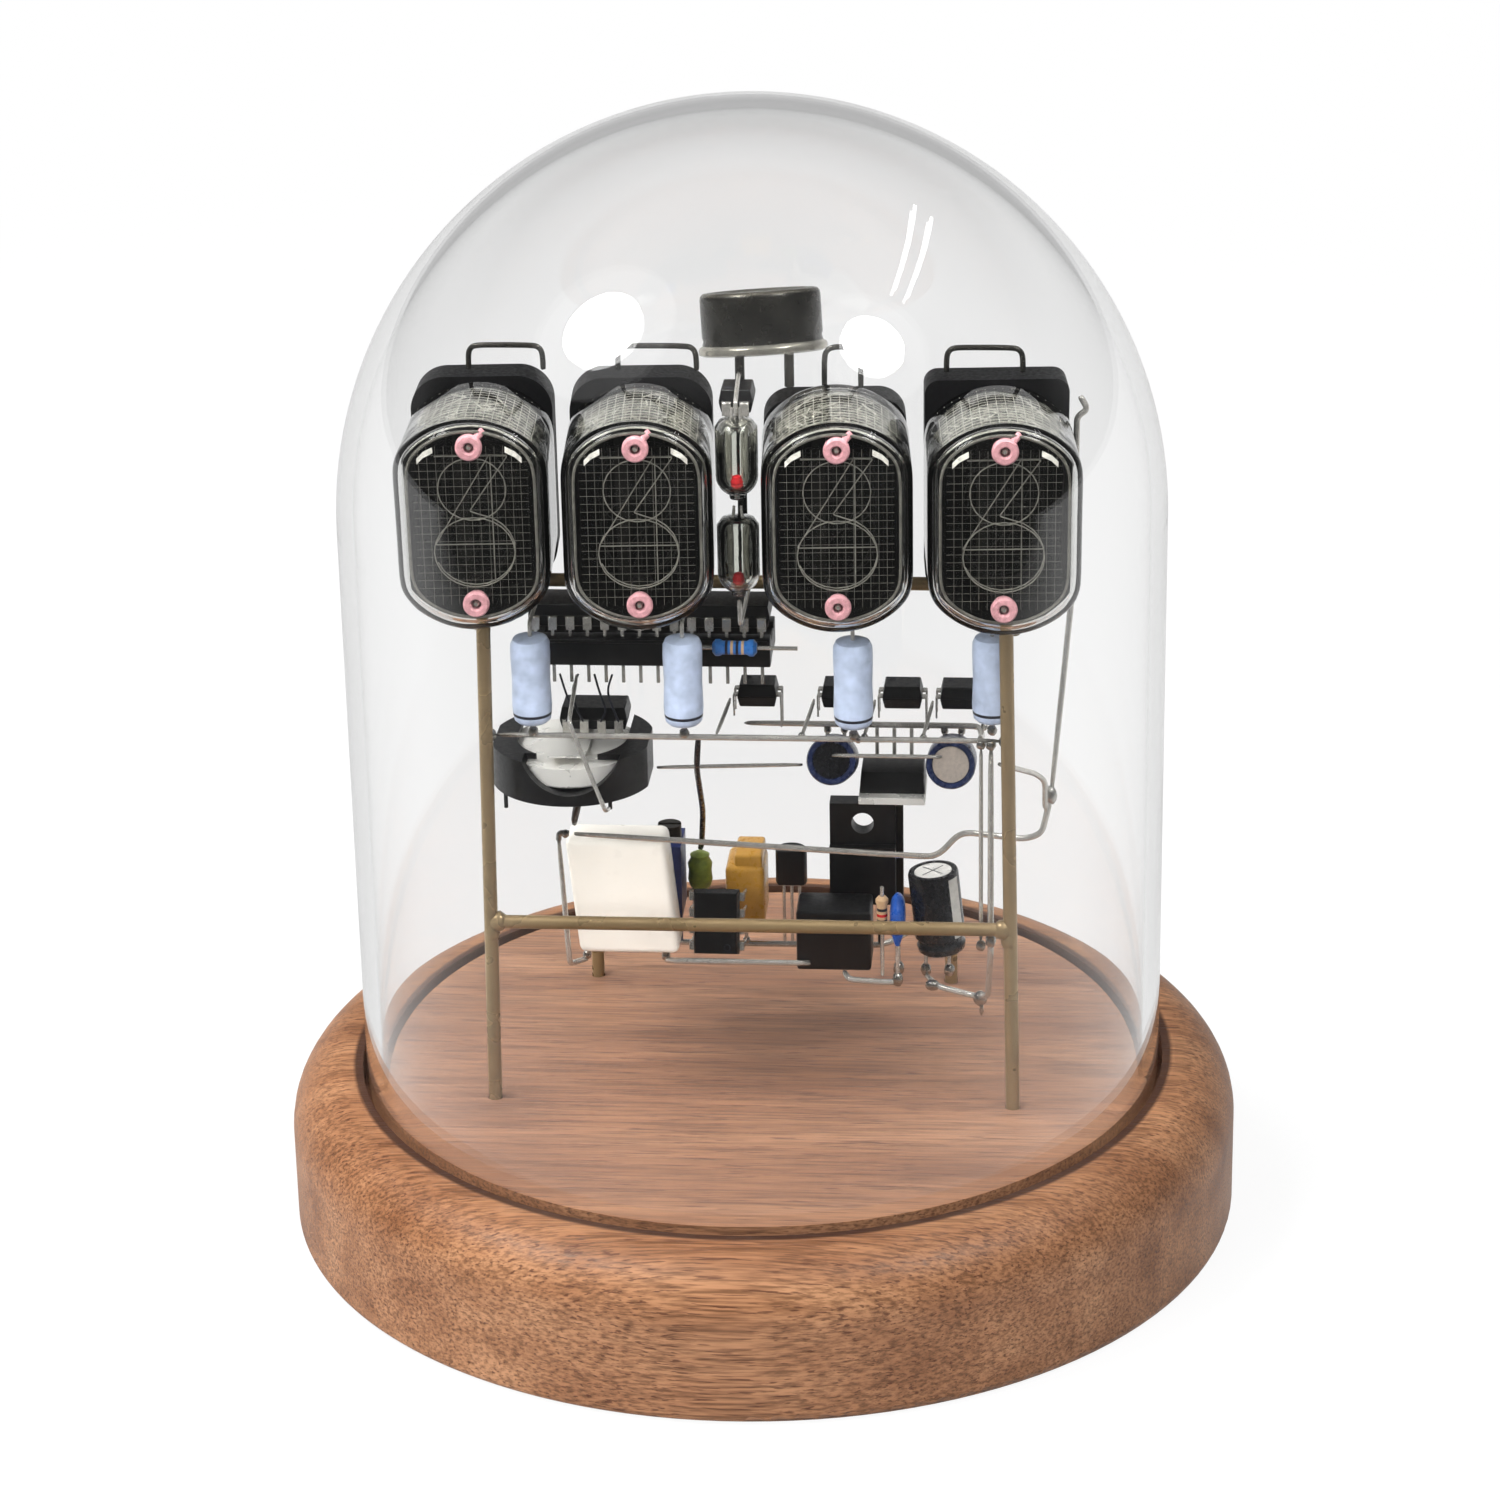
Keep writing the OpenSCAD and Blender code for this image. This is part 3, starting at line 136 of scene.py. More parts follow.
class Shape:
    """Collects solids in millimetres, then becomes one piece of the clock."""

    def __init__(self, name, slot, body="clock"):
        self.name, self.slot, self.body = name, slot, body
        self.bm = bmesh.new()
        self.paints, self.paint = [slot], 0

    def use(self, paint):
        """Faces made from here on get this material."""
        if paint not in self.paints:
            self.paints.append(paint)
        self.paint = self.paints.index(paint)

    def faces_from(self, points, faces, place=None):
        place = place or Matrix.Identity(4)
        verts = [self.bm.verts.new(place @ Vector(p)) for p in points]
        for face in faces:
            if len(set(face)) > 2:
                made = self.bm.faces.new([verts[i] for i in face])
                made.material_index = self.paint
        return verts

    def box(self, size, place=None, bevel=0.25, steps=2, top=(1, 1)):
        """Box centred on its placement; top narrows its upper face to that share of x and y."""
        x, y, z = (s / 2 for s in size)
        points = [(sx * x * (top[0] if sz > 0 else 1), sy * y * (top[1] if sz > 0 else 1), sz * z)
                  for sz in (-1, 1) for sy in (-1, 1) for sx in (-1, 1)]
        faces = [(0, 2, 3, 1), (4, 5, 7, 6), (0, 1, 5, 4), (2, 6, 7, 3), (0, 4, 6, 2),
                 (1, 3, 7, 5)]
        verts = self.faces_from(points, faces, place)
        if bevel:
            edges = list({e for v in verts for e in v.link_edges})
            bmesh.ops.bevel(self.bm, geom=edges, offset=bevel, segments=steps, profile=0.5,
                            affect="EDGES", clamp_overlap=True, material=self.paint)

    def lathe(self, profile, place=None, steps=48, caps=True):
        """Turned solid about z; the profile is (radius, height) pairs from bottom to top.
        A section of a longer solid has no caps."""
        points, faces, rings = [], [], []
        for radius, height in profile:
            if radius < 1e-6:
                rings.append([len(points)] * steps)
                points.append((0, 0, height))
            else:
                rings.append(list(range(len(points), len(points) + steps)))
                points += [(radius * math.cos(a), radius * math.sin(a), height)
                           for a in (2 * math.pi * i / steps for i in range(steps))]
        for lower, upper in zip(rings, rings[1:]):
            for i in range(steps):
                j = (i + 1) % steps
                ring = [lower[i], lower[j], upper[j], upper[i]]
                faces.append([v for k, v in enumerate(ring) if v not in ring[:k]])
        for ring, order in ((rings[0], -1), (rings[-1], 1)):
            if caps and len(set(ring)) > 1:
                faces.append(ring[::order])
        self.faces_from(points, faces, place)

    def turned(self, sections, place, steps=48):
        """One turned solid in several paints, its sections from bottom to top."""
        for paint, profile in sections:
            self.use(paint)
            self.lathe(profile, place, steps, caps=False)

    def rod(self, start, end, radius, steps=16, bevel=0.0):
        start, end = Vector(start), Vector(end)
        axis = end - start
        place = Matrix.Translation(start) @ axis.to_track_quat("Z", "Y").to_matrix().to_4x4()
        length = axis.length
        profile = [(radius, 0), (radius, length)]
        if bevel:
            profile = [(radius - bevel, 0), (radius, bevel), (radius, length - bevel),
                       (radius - bevel, length)]
        self.lathe([(0, 0)] + profile + [(0, length)], place, steps)

    def wire(self, route, radius, bend=1.0, steps=10, closed=False):
        """Round wire along a route whose corners are arcs."""
        path = [Vector(p) for p in route] if closed else rounded(route, bend)
        count = len(path)
        points, side = [], None
        for i, point in enumerate(path):
            before = path[i - 1] if closed or i else path[0]
            after = path[(i + 1) % count] if closed or i < count - 1 else path[-1]
            along = (after - before).normalized()
            if side is None:
                side = along.cross(Vector((0, 0, 1) if abs(along.z) < 0.9 else (1, 0, 0)))
            side = (side - along * side.dot(along)).normalized()
            other = along.cross(side)
            points += [point + radius * (math.cos(a) * side + math.sin(a) * other)
                       for a in (2 * math.pi * k / steps for k in range(steps))]
        faces = []
        for i in range(count if closed else count - 1):
            row, following = i * steps, (i + 1) % count * steps
            for k in range(steps):
                j = (k + 1) % steps
                faces.append((row + k, row + j, following + j, following + k))
        if not closed:
            faces.append(tuple(range(steps))[::-1])
            faces.append(tuple(range((count - 1) * steps, count * steps)))
        self.faces_from(points, faces)

    def blob(self, centre, radius, stretch):
        """Small lump of solder, a little uneven."""
        made = bmesh.ops.create_icosphere(self.bm, subdivisions=2, radius=1.0)
        for vert in made["verts"]:
            wave = math.sin(5 * vert.co.x + centre[0]) * math.cos(4 * vert.co.z + centre[2])
            size = radius * (1 + 0.08 * wave)
            vert.co = Vector([centre[i] + vert.co[i] * size * stretch[i] for i in range(3)])
            for face in vert.link_faces:
                face.material_index = self.paint

    def loft(self, outlines, place=None):
        """Capped skin through outlines with equal numbers of points."""
        count = len(outlines[0])
        points = [p for line in outlines for p in line]
        faces = [tuple(range(count))[::-1], tuple(range(len(points) - count, len(points)))]
        for row in range(0, len(points) - count, count):
            for k in range(count):
                a, b = row + k, row + (k + 1) % count
                faces.append((a, b, b + count, a + count))
        self.faces_from(points, faces, place)

    def add_inner(self, inner):
        """Takes in the inner skin of a hollow glass piece, turned to face inwards."""
        for skin in (self, inner):
            bmesh.ops.recalc_face_normals(skin.bm, faces=skin.bm.faces)
        bmesh.ops.reverse_faces(inner.bm, faces=inner.bm.faces)
        spare = bpy.data.meshes.new("inner_skin")
        inner.bm.to_mesh(spare)
        inner.bm.free()
        self.bm.from_mesh(spare)
        bpy.data.meshes.remove(spare)

    def finish(self, replaces=(), sharp=38.0, weld=False, two_skins=False):
        """Turns the collected solids into a piece; weld joins the sections of lathed solids.
        The faces of two skins look the right way already."""
        bm = self.bm
        if weld:
            bmesh.ops.remove_doubles(bm, verts=bm.verts, dist=1e-4)
        if not two_skins:
            bmesh.ops.recalc_face_normals(bm, faces=bm.faces)
        limit = math.radians(sharp)
        for edge in bm.edges:
            edge.smooth = len(edge.link_faces) == 2 and edge.calc_face_angle(0) < limit
        for face in bm.faces:
            face.smooth = True
        bm.transform(Matrix.Scale(MM, 4))
        mesh = bpy.data.meshes.new(self.name)
        bm.to_mesh(mesh)
        bm.free()
        for paint in self.paints:
            mesh.materials.append(FINISHES[paint])
        return placed(mesh, self.name, self.body, replaces)


def rounded(route, bend, steps=5):
    """Points of a route whose corners are curves that start bend before the corner."""
    route = [Vector(p) for p in route]
    out = [route[0]]
    for before, corner, after in zip(route, route[1:], route[2:]):
        back, ahead = before - corner, after - corner
        reach = min(bend, back.length * 0.45, ahead.length * 0.45)
        p, q = corner + back.normalized() * reach, corner + ahead.normalized() * reach
        for i in range(steps + 1):
            u = i / steps
            out.append((1 - u) ** 2 * p + 2 * u * (1 - u) * corner + u * u * q)
    return out + [route[-1]]


# ---------- materials ----------


def linear(red, green, blue):
    """Linear colour for a colour given as 0 to 255 on a screen."""
    return tuple((c / 255 / 12.92) if c <= 10 else ((c / 255 + 0.055) / 1.055) ** 2.4
                 for c in (red, green, blue)) + (1.0,)


def grey(value):
    return (value, value, value, 1)


class Tree:
    """Short way to write a node tree."""

    def __init__(self, tree):
        self.tree = tree

    def add(self, kind, **inputs):
        node = self.tree.nodes.new(kind)
        for name, value in inputs.items():
            self.put(node.inputs[name.replace("_", " ")], value)
        return node

    def put(self, socket, value):
        if isinstance(value, bpy.types.NodeSocket):
            self.tree.links.new(value, socket)
        else:
            socket.default_value = value

    def math(self, how, first, second=0.0):
        node = self.add("ShaderNodeMath")
        node.operation = how
        self.put(node.inputs[0], first)
        self.put(node.inputs[1], second)
        return node.outputs[0]

    def length(self, vector):
        node = self.add("ShaderNodeVectorMath", Vector=vector)
        node.operation = "LENGTH"
        return node.outputs["Value"]

    def range(self, value, low, high, a=0.3, b=0.7):
        """Goes from low to high as the value goes from a to b."""
        return self.add("ShaderNodeMapRange", Value=value, From_Min=a, From_Max=b,
                        To_Min=low, To_Max=high).outputs[0]

    def ramp(self, value, *stops):
        node = self.add("ShaderNodeValToRGB", Fac=value)
        elements = node.color_ramp.elements
        while len(elements) < len(stops):
            elements.new(0.5)
        for element, (place, colour) in zip(elements, stops):
            element.position = place
            element.color = grey(colour) if isinstance(colour, float) else colour
        return node.outputs["Color"]

    def blend(self, share, first, second):
        """Shader that is first at a share of 0 and second at 1."""
        mix = self.add("ShaderNodeMixShader")
        for socket, value in zip(mix.inputs, (share, first, second)):
            self.put(socket, value)
        return mix.outputs[0]


class Nodes(Tree):
    """Node tree of a new material."""

    def __init__(self, name):
        self.material = bpy.data.materials.new(name)
        self.material.use_nodes = True
        super().__init__(self.material.node_tree)
        self.shader = self.tree.nodes["Principled BSDF"]
        self.output = self.tree.nodes["Material Output"]
        self.place = self.add("ShaderNodeTexCoord").outputs["Object"]

    def noise(self, scale, detail=3.0, rough=0.5, stretch=None, seed=0.0):
        """Noise with cells about 1/scale metres wide; stretch multiplies each axis."""
        where = self.place
        if stretch or seed:
            where = self.add("ShaderNodeMapping", Vector=where, Scale=stretch or (1, 1, 1),
                             Location=(seed, seed * 0.7, seed * 1.3)).outputs[0]
        return self.add("ShaderNodeTexNoise", Vector=where, Scale=scale, Detail=detail,
                        Roughness=rough).outputs["Fac"]

    def squares(self, first, second, line):
        """Colours of a fine square gauze: panels in two colours, and the lines between them."""
        node = self.add("ShaderNodeTexBrick", Vector=self.place, Scale=1.0,
                        Mortar_Size=0.00007, Brick_Width=0.0014, Row_Height=0.0014,
                        Color1=first, Color2=second, Mortar=line)
        node.offset = 0.0
        return node.outputs[0]

    def part(self, axis, vector=None):
        return self.add("ShaderNodeSeparateXYZ", Vector=vector or self.place).outputs[axis]

    def mix(self, share, first, second, how="MIX"):
        node = self.add("ShaderNodeMix")
        node.data_type, node.blend_type = "RGBA", how
        self.put(node.inputs[0], share)
        self.put(node.inputs[6], first)
        self.put(node.inputs[7], second)
        return node.outputs[2]

    def bump(self, height, distance, strength=1.0):
        """Relief of a height field, distance in millimetres."""
        node = self.add("ShaderNodeBump", Height=height, Distance=distance * MM,
                        Strength=strength)
        self.put(self.shader.inputs["Normal"], node.outputs[0])

    def set(self, **values):
        for name, value in values.items():
            self.put(self.shader.inputs[name.replace("_", " ")], value)


def plain_finish(name, colour, rough, metal=0.0, spread=0.12, cell=2.0, relief=0.02, coat=0.0,
                 shine=0.5):
    """Finish with patchy colour and gloss; cell is the patches' size in millimetres."""
    nodes = Nodes(name)
    base = Vector(colour[:3])
    patch = nodes.noise(1 / (cell * MM), 4.0)
    gloss = nodes.noise(2.5 / (cell * MM), 3.0, seed=3.0)
    dark, light = base * (1 - spread), base * (1 + spread)
    nodes.set(Base_Color=nodes.ramp(patch, (0.3, (*dark, 1.0)), (0.7, (*light, 1.0))),
              Roughness=nodes.range(gloss, rough * 0.8, rough * 1.25),
              Metallic=metal, Coat_Weight=coat, Specular_IOR_Level=shine)
    if relief:
        nodes.bump(nodes.noise(9 / (cell * MM), 3.0, seed=5.0), relief)
    return nodes.material


def beech():
    """Oiled beech: fine streaks and short dark flecks along x. Under the dome it is greyer, a
    painted haze for the glass's reflection, and a dark ring round the dome's foot is painted shade
    in the groove."""
    nodes = Nodes("beech")
    broad = nodes.noise(110, 5.0, 0.6, stretch=(0.12, 1, 1))
    fine = nodes.noise(2400, 3.0, 0.6, stretch=(0.03, 1, 1), seed=2.0)
    fleck = nodes.noise(2900, 2.0, 0.5, stretch=(0.055, 1, 1), seed=4.0)
    shade = nodes.ramp(broad, (0.3, linear(108, 71, 46)), (0.5, linear(131, 92, 64)),
                       (0.72, linear(150, 111, 81)))
    lines = nodes.ramp(fine, (0.36, (0.52, 0.48, 0.44, 1)), (0.6, (1.18, 1.17, 1.15, 1)))
    dark = nodes.ramp(fleck, (0.59, 0.0), (0.66, 1.0))
    colour = nodes.mix(nodes.math("MULTIPLY", dark, 0.75),
                       nodes.mix(1.0, shade, lines, "MULTIPLY"), linear(66, 34, 20))
    flat = nodes.add("ShaderNodeMapping", Vector=nodes.place, Scale=(1, 1, 0)).outputs[0]
    reach = nodes.length(flat)
    # painted reflection: inside the dome's radius the wood is mixed towards pinkish grey, a haze
    # standing in for the glass's veil
    glass_haze = nodes.range(reach, 0.35, 0.0, 0.056, 0.0575)
    colour = nodes.mix(glass_haze, colour, linear(112, 92, 84))
    # painted shade: a dark ring where the groove round the dome's foot lies, on faces higher than 6
    # mm
    groove = nodes.math("MULTIPLY", nodes.range(reach, 0.0, 0.9, 0.0572, 0.0582),
                        nodes.range(reach, 1.0, 0.0, 0.0616, 0.0622))
    groove = nodes.math("MULTIPLY", groove, nodes.range(nodes.part("Z"), 0.0, 1.0, 0.005, 0.006))
    nodes.set(Base_Color=nodes.mix(groove, colour, linear(40, 20, 13)),
              Roughness=nodes.range(fine, 0.38, 0.55), Specular_IOR_Level=0.3)
    nodes.bump(nodes.math("SUBTRACT", fine, nodes.math("MULTIPLY", dark, 0.7)), 0.06, 0.5)
    return nodes.material


def glass(name, tint, smoke, wave, cell, ior=1.47):
    """Clear glass that darkens with the length of the way through it: smoke is that per metre.
    Lamps shine through it, so that what it covers is lit."""
    nodes = Nodes(name)
    nodes.set(Base_Color=tint, Roughness=0.0, IOR=ior, Transmission_Weight=1.0)
    nodes.bump(nodes.noise(1 / (cell * MM), 2.0), wave)
    clear = nodes.add("ShaderNodeBsdfTransparent", Color=tint).outputs[0]
    shadow = nodes.add("ShaderNodeLightPath").outputs["Is Shadow Ray"]
    surface = nodes.blend(shadow, nodes.shader.outputs[0], clear)
    dim = nodes.add("ShaderNodeVolumeAbsorption", Color=(0.5, 0.54, 0.52, 1), Density=smoke)
    nodes.put(nodes.output.inputs["Surface"], surface)
    nodes.put(nodes.output.inputs["Volume"], dim.outputs[0])
    return nodes.material


def shield_metal():
    """Black sheet inside a tube with the pale squares of a fine gauze, greyer on its top, where
    pale streaks on the upward faces are painted light and highlights over the gauze pattern.
    """
    nodes = Nodes("shield_steel")
    inside = nodes.squares(linear(8, 8, 8), linear(10, 10, 9), linear(34, 33, 31))
    rise = nodes.part("Z", nodes.add("ShaderNodeTexCoord").outputs["Normal"])
    # painted light: faces that look up, in the tube's upper half, get pale streaks standing in for
    # light and highlights on the top
    above = nodes.math("MULTIPLY", nodes.range(rise, 0.0, 1.0, 0.45, 0.8),
                       nodes.range(nodes.part("Z"), 0.0, 1.0, 0.114, 0.116))
    streaks = nodes.ramp(nodes.noise(1500, 4.0, 0.7, stretch=(1, 0.3, 1)),
                         (0.44, linear(20, 20, 18)), (0.6, linear(138, 137, 128)))
    top = nodes.mix(1.0, streaks, nodes.squares(grey(1), grey(1), grey(0.45)), "MULTIPLY")
    nodes.set(Base_Color=nodes.mix(above, inside, top), Specular_IOR_Level=0.05,
              Roughness=nodes.range(nodes.noise(700), 0.45, 0.6))
    return nodes.material


FINISHES = {
    "beech": beech(),
    "dome_glass": glass("dome_glass", (0.997, 0.997, 0.997, 1), 7.0, 0.02, 30.0),
    "tube_glass": glass("tube_glass", (0.97, 0.97, 0.955, 1), 50.0, 0.03, 4.0, ior=1.4),
    "neon_glass": glass("neon_glass", (0.97, 0.975, 0.95, 1), 90.0, 0.02, 2.0),
    "shield_steel": shield_metal(),
}
# name, screen colour, roughness, then metal, spread, patch size, relief, coat and shine
PLAIN = (
    ("black_plastic", (15, 15, 16), 0.38, dict(spread=0.3, cell=1.5)),
    ("base_black", (6, 6, 7), 0.5, dict(spread=0.3, cell=1.5, relief=0.01, shine=0.2)),
    ("red_wire", (170, 40, 36), 0.4, dict(cell=3.0)),
    ("brass_rod", (142, 121, 88), 0.3, dict(metal=0.6, cell=12.0, relief=0.003)),
    ("mesh_steel", (108, 106, 100), 0.4, dict(metal=0.3, spread=0.3, cell=1.0, relief=0.0)),
    # painted shade: near-black steel for numeral wires and ceramic sleeves deep inside a tube
    ("painted_shade_dark", (24, 24, 22), 0.4, dict(cell=1.5, relief=0.0, shine=0.1)),
    ("digit_steel", (138, 136, 128), 0.38,
     dict(metal=0.1, spread=0.25, cell=1.5, relief=0.0, shine=0.2)),
    ("pink_ceramic", (206, 150, 158), 0.45, dict(spread=0.2, cell=0.7, relief=0.03)),
    ("tinned_wire", (206, 203, 196), 0.2, dict(metal=0.75, cell=1.2, relief=0.01)),
    ("nickel_can", (46, 45, 41), 0.24, dict(metal=0.7, spread=0.3, cell=3.0, relief=0.006)),
    # painted highlights: lighter nickel for the can's flange and rim
    ("can_flange_highlight", (156, 153, 142), 0.22, dict(metal=0.8, spread=0.3, cell=4.0)),
    ("can_rim_highlight", (96, 93, 84), 0.24, dict(metal=0.8, spread=0.3, cell=4.0)),
    ("can_lid", (74, 73, 68), 0.34, dict(metal=0.4, spread=0.2, cell=3.0)),
    ("aluminium_face", (208, 196, 184), 0.5, dict(metal=0.7, spread=0.1, cell=0.5)),
    ("resistor_grey_blue", (170, 182, 204), 0.36,
     dict(spread=0.2, cell=2.2, relief=0.03, coat=0.15)),
    ("cell_steel", (232, 230, 224), 0.3, dict(metal=0.5, spread=0.04, cell=9.0, relief=0.0)),
    ("sleeve_dark_blue", (30, 38, 66), 0.26, dict(spread=0.2, coat=0.3)),
    ("sleeve_black", (22, 22, 24), 0.26, dict(spread=0.2, coat=0.3)),
    ("white_plastic", (244, 239, 229), 0.32,
     dict(spread=0.025, cell=6.0, relief=0.015, coat=0.2)),
    ("mustard", (176, 130, 52), 0.3, dict(relief=0.05, coat=0.25)),
    ("olive", (122, 136, 52), 0.36, dict(spread=0.25, cell=0.9, relief=0.08, coat=0.2)),
    ("trimmer_blue", (36, 46, 92), 0.36, dict()),
    ("screw_brass", (44, 40, 34), 0.34, dict(metal=0.6, cell=1.0)),
    ("disc_blue", (32, 74, 150), 0.3, dict(spread=0.14, cell=1.5, relief=0.05, coat=0.25)),
    ("resistor_blue", (46, 104, 172), 0.32, dict(cell=1.0, coat=0.2)),
    ("tan_lacquer", (186, 154, 118), 0.4, dict(cell=1.0)),
    ("dark_mark", (30, 31, 40), 0.4, dict(cell=1.0)),
    ("red_glass", (176, 30, 38), 0.22, dict(cell=0.8, coat=0.4)),
    # painted glints: pale clips that stand in for lamp reflections at the shoulders inside the
    # tubes
    ("painted_glint_clip", (236, 233, 226), 0.3, dict(metal=0.2, spread=0.3, cell=1.2)),
    ("dark_wire", (84, 82, 77), 0.22, dict(metal=0.85, spread=0.2, cell=1.2)),
    ("top_wire", (176, 174, 165), 0.4, dict(metal=0.3, spread=0.4, cell=0.8)),
    ("solder", (196, 194, 188), 0.2, dict(metal=1.0, spread=0.1, cell=0.6, relief=0.03)),
    ("pale_mark", (168, 166, 160), 0.45, dict(cell=1.0)),
)
for title, screen, gloss, more in PLAIN:
    FINISHES[title] = plain_finish(title, linear(*screen), gloss, **more)


def refinish(node, finish):
    """A CAD node whose own shape shows gets its finish."""
    piece = frame["nodes"][node]
    piece.data.materials.clear()
    piece.data.materials.append(FINISHES[finish])


def smoothed(node, slot, name, swell, dark=None, paint=None):
    """A bent wire of the CAD model as a round one; the faces in the box dark are black."""
    shape = bmesh.new()
    shape.from_mesh(frame["nodes"][node].data)
    bmesh.ops.remove_doubles(shape, verts=shape.verts, dist=1e-6)
    for face in shape.faces:
        face.smooth = True
    mesh = bpy.data.meshes.new(name)
    shape.to_mesh(mesh)
    shape.free()
    mesh.materials.append(FINISHES[paint or slot])
    if dark:
        mesh.materials.append(FINISHES["black_plastic"])
        for face in mesh.polygons:
            face.material_index = int(all(
                low < c / MM < high for low, c, high in zip(dark[0], face.center, dark[1])))
    piece = placed(mesh, name, "clock", [node])
    swollen = piece.modifiers.new("swell", "DISPLACE")
    swollen.strength, swollen.mid_level = swell * MM, 0.0
    rounder = piece.modifiers.new("rounder", "SUBSURF")
    rounder.levels = rounder.render_levels = 1


# ---------- glass dome ----------

DOME_R, DOME_WALL, DOME_STRAIGHT = 60.0, 2.4, 90.0
DOME_RIM = corners("glass_dome")[0].z


def glass_dome():
    """Blown dome: a rounded rim, a straight wall and a round top."""
    dome = Shape("dome_of_glass", "dome_glass", "dome")
    shoulder, half = DOME_RIM + DOME_STRAIGHT, DOME_WALL / 2

    def skin(radius):
        wall = [(radius, DOME_RIM + half + (DOME_STRAIGHT - half) * i / 12) for i in range(12)]
        return wall + [(radius * math.cos(a), shoulder + radius * math.sin(a))
                       for a in (math.pi / 2 * i / 40 for i in range(41))]

    rim = [(DOME_R - half + half * math.cos(a), DOME_RIM + half - half * math.sin(a))
           for a in (math.pi * i / 8 for i in range(1, 8))]
    dome.lathe(skin(DOME_R)[::-1] + rim + skin(DOME_R - DOME_WALL), steps=160)
    dome.finish(["glass_dome"], sharp=60)


# ---------- numeral tubes ----------

OUTLINE_STEPS, OUTLINE_SOFTENING = 720, 10


def tube_outline(inset=0.0, count=120):
    """Front view of a tube: straight sides, arched ends, softened corners."""
    half_w, radius = TUBE_W / 2 - inset, TUBE_ARCH - inset
    dense = []
    for i in range(OUTLINE_STEPS):
        angle = 2 * math.pi * i / OUTLINE_STEPS
        dx, dz = math.cos(angle), math.sin(angle)
        b = abs(dz) * ARCH_CENTRE
        arch = b + math.sqrt(max(b * b - ARCH_CENTRE ** 2 + radius * radius, 0))
        reach = min(half_w / max(abs(dx), 1e-9), arch)
        dense.append(Vector((dx * reach, dz * reach)))
    lengths = [0.0]
    for p, q in zip(dense, dense[1:] + dense[:1]):
        lengths.append(lengths[-1] + (q - p).length)
    points, k = [], 0
    for i in range(count):
        goal = lengths[-1] * i / count
        while lengths[k + 1] < goal:
            k += 1
        share = (goal - lengths[k]) / (lengths[k + 1] - lengths[k])
        points.append(dense[k].lerp(dense[(k + 1) % OUTLINE_STEPS], share))
    for _ in range(OUTLINE_SOFTENING):
        points = [(points[i - 1] + 2 * points[i] + points[(i + 1) % count]) / 4
                  for i in range(count)]
    return points


def tube_skin(inset, front, back, front_r, back_r):
    """Outlines of one skin of the glass, from the middle of its face to that of its back."""
    base = tube_outline(inset)
    bends = [math.pi / 2 * i / 6 for i in range(7)]
    straight = back - back_r - front - front_r
    rows = [(share * TUBE_W / 2, front) for share in (0.96, 0.6, 0.3)]
    rows += [(front_r * (1 - math.sin(a)), front + front_r * (1 - math.cos(a))) for a in bends]
    rows += [(0, front + front_r + straight * i / 5) for i in range(1, 5)]
    rows += [(back_r * (1 - math.cos(a)), back - back_r * (1 - math.sin(a))) for a in bends]
    rows += [(share * TUBE_W / 2, back) for share in (0.6, 0.96)]
    return [[(p.x * (1 - shrink / (TUBE_W / 2)), y, p.y * (1 - shrink / (TUBE_H / 2)))
             for p in base] for shrink, y in rows]


def tube_envelope(index):
    place = tube_place(index)
    tube = Shape(f"tube_envelope_{index + 1}", "tube_glass")
    inner = Shape("inner", "tube_glass")
    tube.loft(tube_skin(0, 0, TUBE_DEPTH, 2.4, 3.0), place)
    inner.loft(tube_skin(TUBE_WALL, TUBE_WALL, TUBE_DEPTH - 1.8, 1.6, 2.4), place)
    tube.add_inner(inner)
    tube.finish([f"tube_glass_{index + 1}"], sharp=60, two_skins=True)


def bow(cx, cy, rx, ry, start, end, steps=14):
    """Arc of an ellipse, its ends in degrees."""
    angles = [math.radians(start + (end - start) * i / steps) for i in range(steps + 1)]
    return [(cx + rx * math.cos(a), cy + ry * math.sin(a)) for a in angles]


# strokes of each numeral, in halves of its width and height
NUMERALS = {
    0: [bow(0, 0, 1, 1, 90, -270, 30)],
    1: [[(0, -1), (0, 1)]],
    2: [bow(0, 0.45, 1, 0.55, 160, -35) + [(-1, -1), (1, -1)]],
    3: [[(-0.9, 1), (0.9, 1), (-0.1, 0.15)] + bow(0, -0.45, 1, 0.55, 80, -160)],
    4: [[(0.45, -1), (0.45, 1), (-1, -0.4), (1, -0.4)]],
    5: [[(0.9, 1), (-0.75, 1), (-0.85, 0.1)] + bow(0, -0.4, 1, 0.6, 120, -155)],
    6: [bow(0.3, 0, 1.25, 1, 75, 170) + bow(0, -0.42, 1, 0.58, 180, 510, 24)],
    7: [[(-1, 1), (1, 1), (-0.3, -1)]],
    8: [bow(0, 0.52, 0.84, 0.48, -80, 280, 22), bow(0, -0.46, 1, 0.54, 90, -270, 24)],
    9: [bow(-0.3, 0, 1.25, 1, -105, -10) + bow(0, 0.42, 1, 0.58, 0, 330, 24)],
}
NUMERAL_ORDER = (8, 3, 4, 9, 7, 0, 5, 2, 6, 1)
NUMERAL_W, NUMERAL_H, NUMERAL_PITCH, NUMERAL_WIRE = 11.2, 19.0, 0.9, 0.085
# front numerals keep the steel colour; the ones behind them are painted dark as painted shade
LIT_NUMERALS = 3
MESH_DEPTH = TUBE_WALL + 0.9
NUMERAL_DEPTH = MESH_DEPTH + 1.25
GAUZE_PITCH, GAUZE_WIRE, GAUZE_HALF_W, GAUZE_HALF_H = 1.15, 0.032, 7.9, 11.6
TOP_WIRE, TOP_FRONT, TOP_BACK = 0.055, 2.2, 19.0


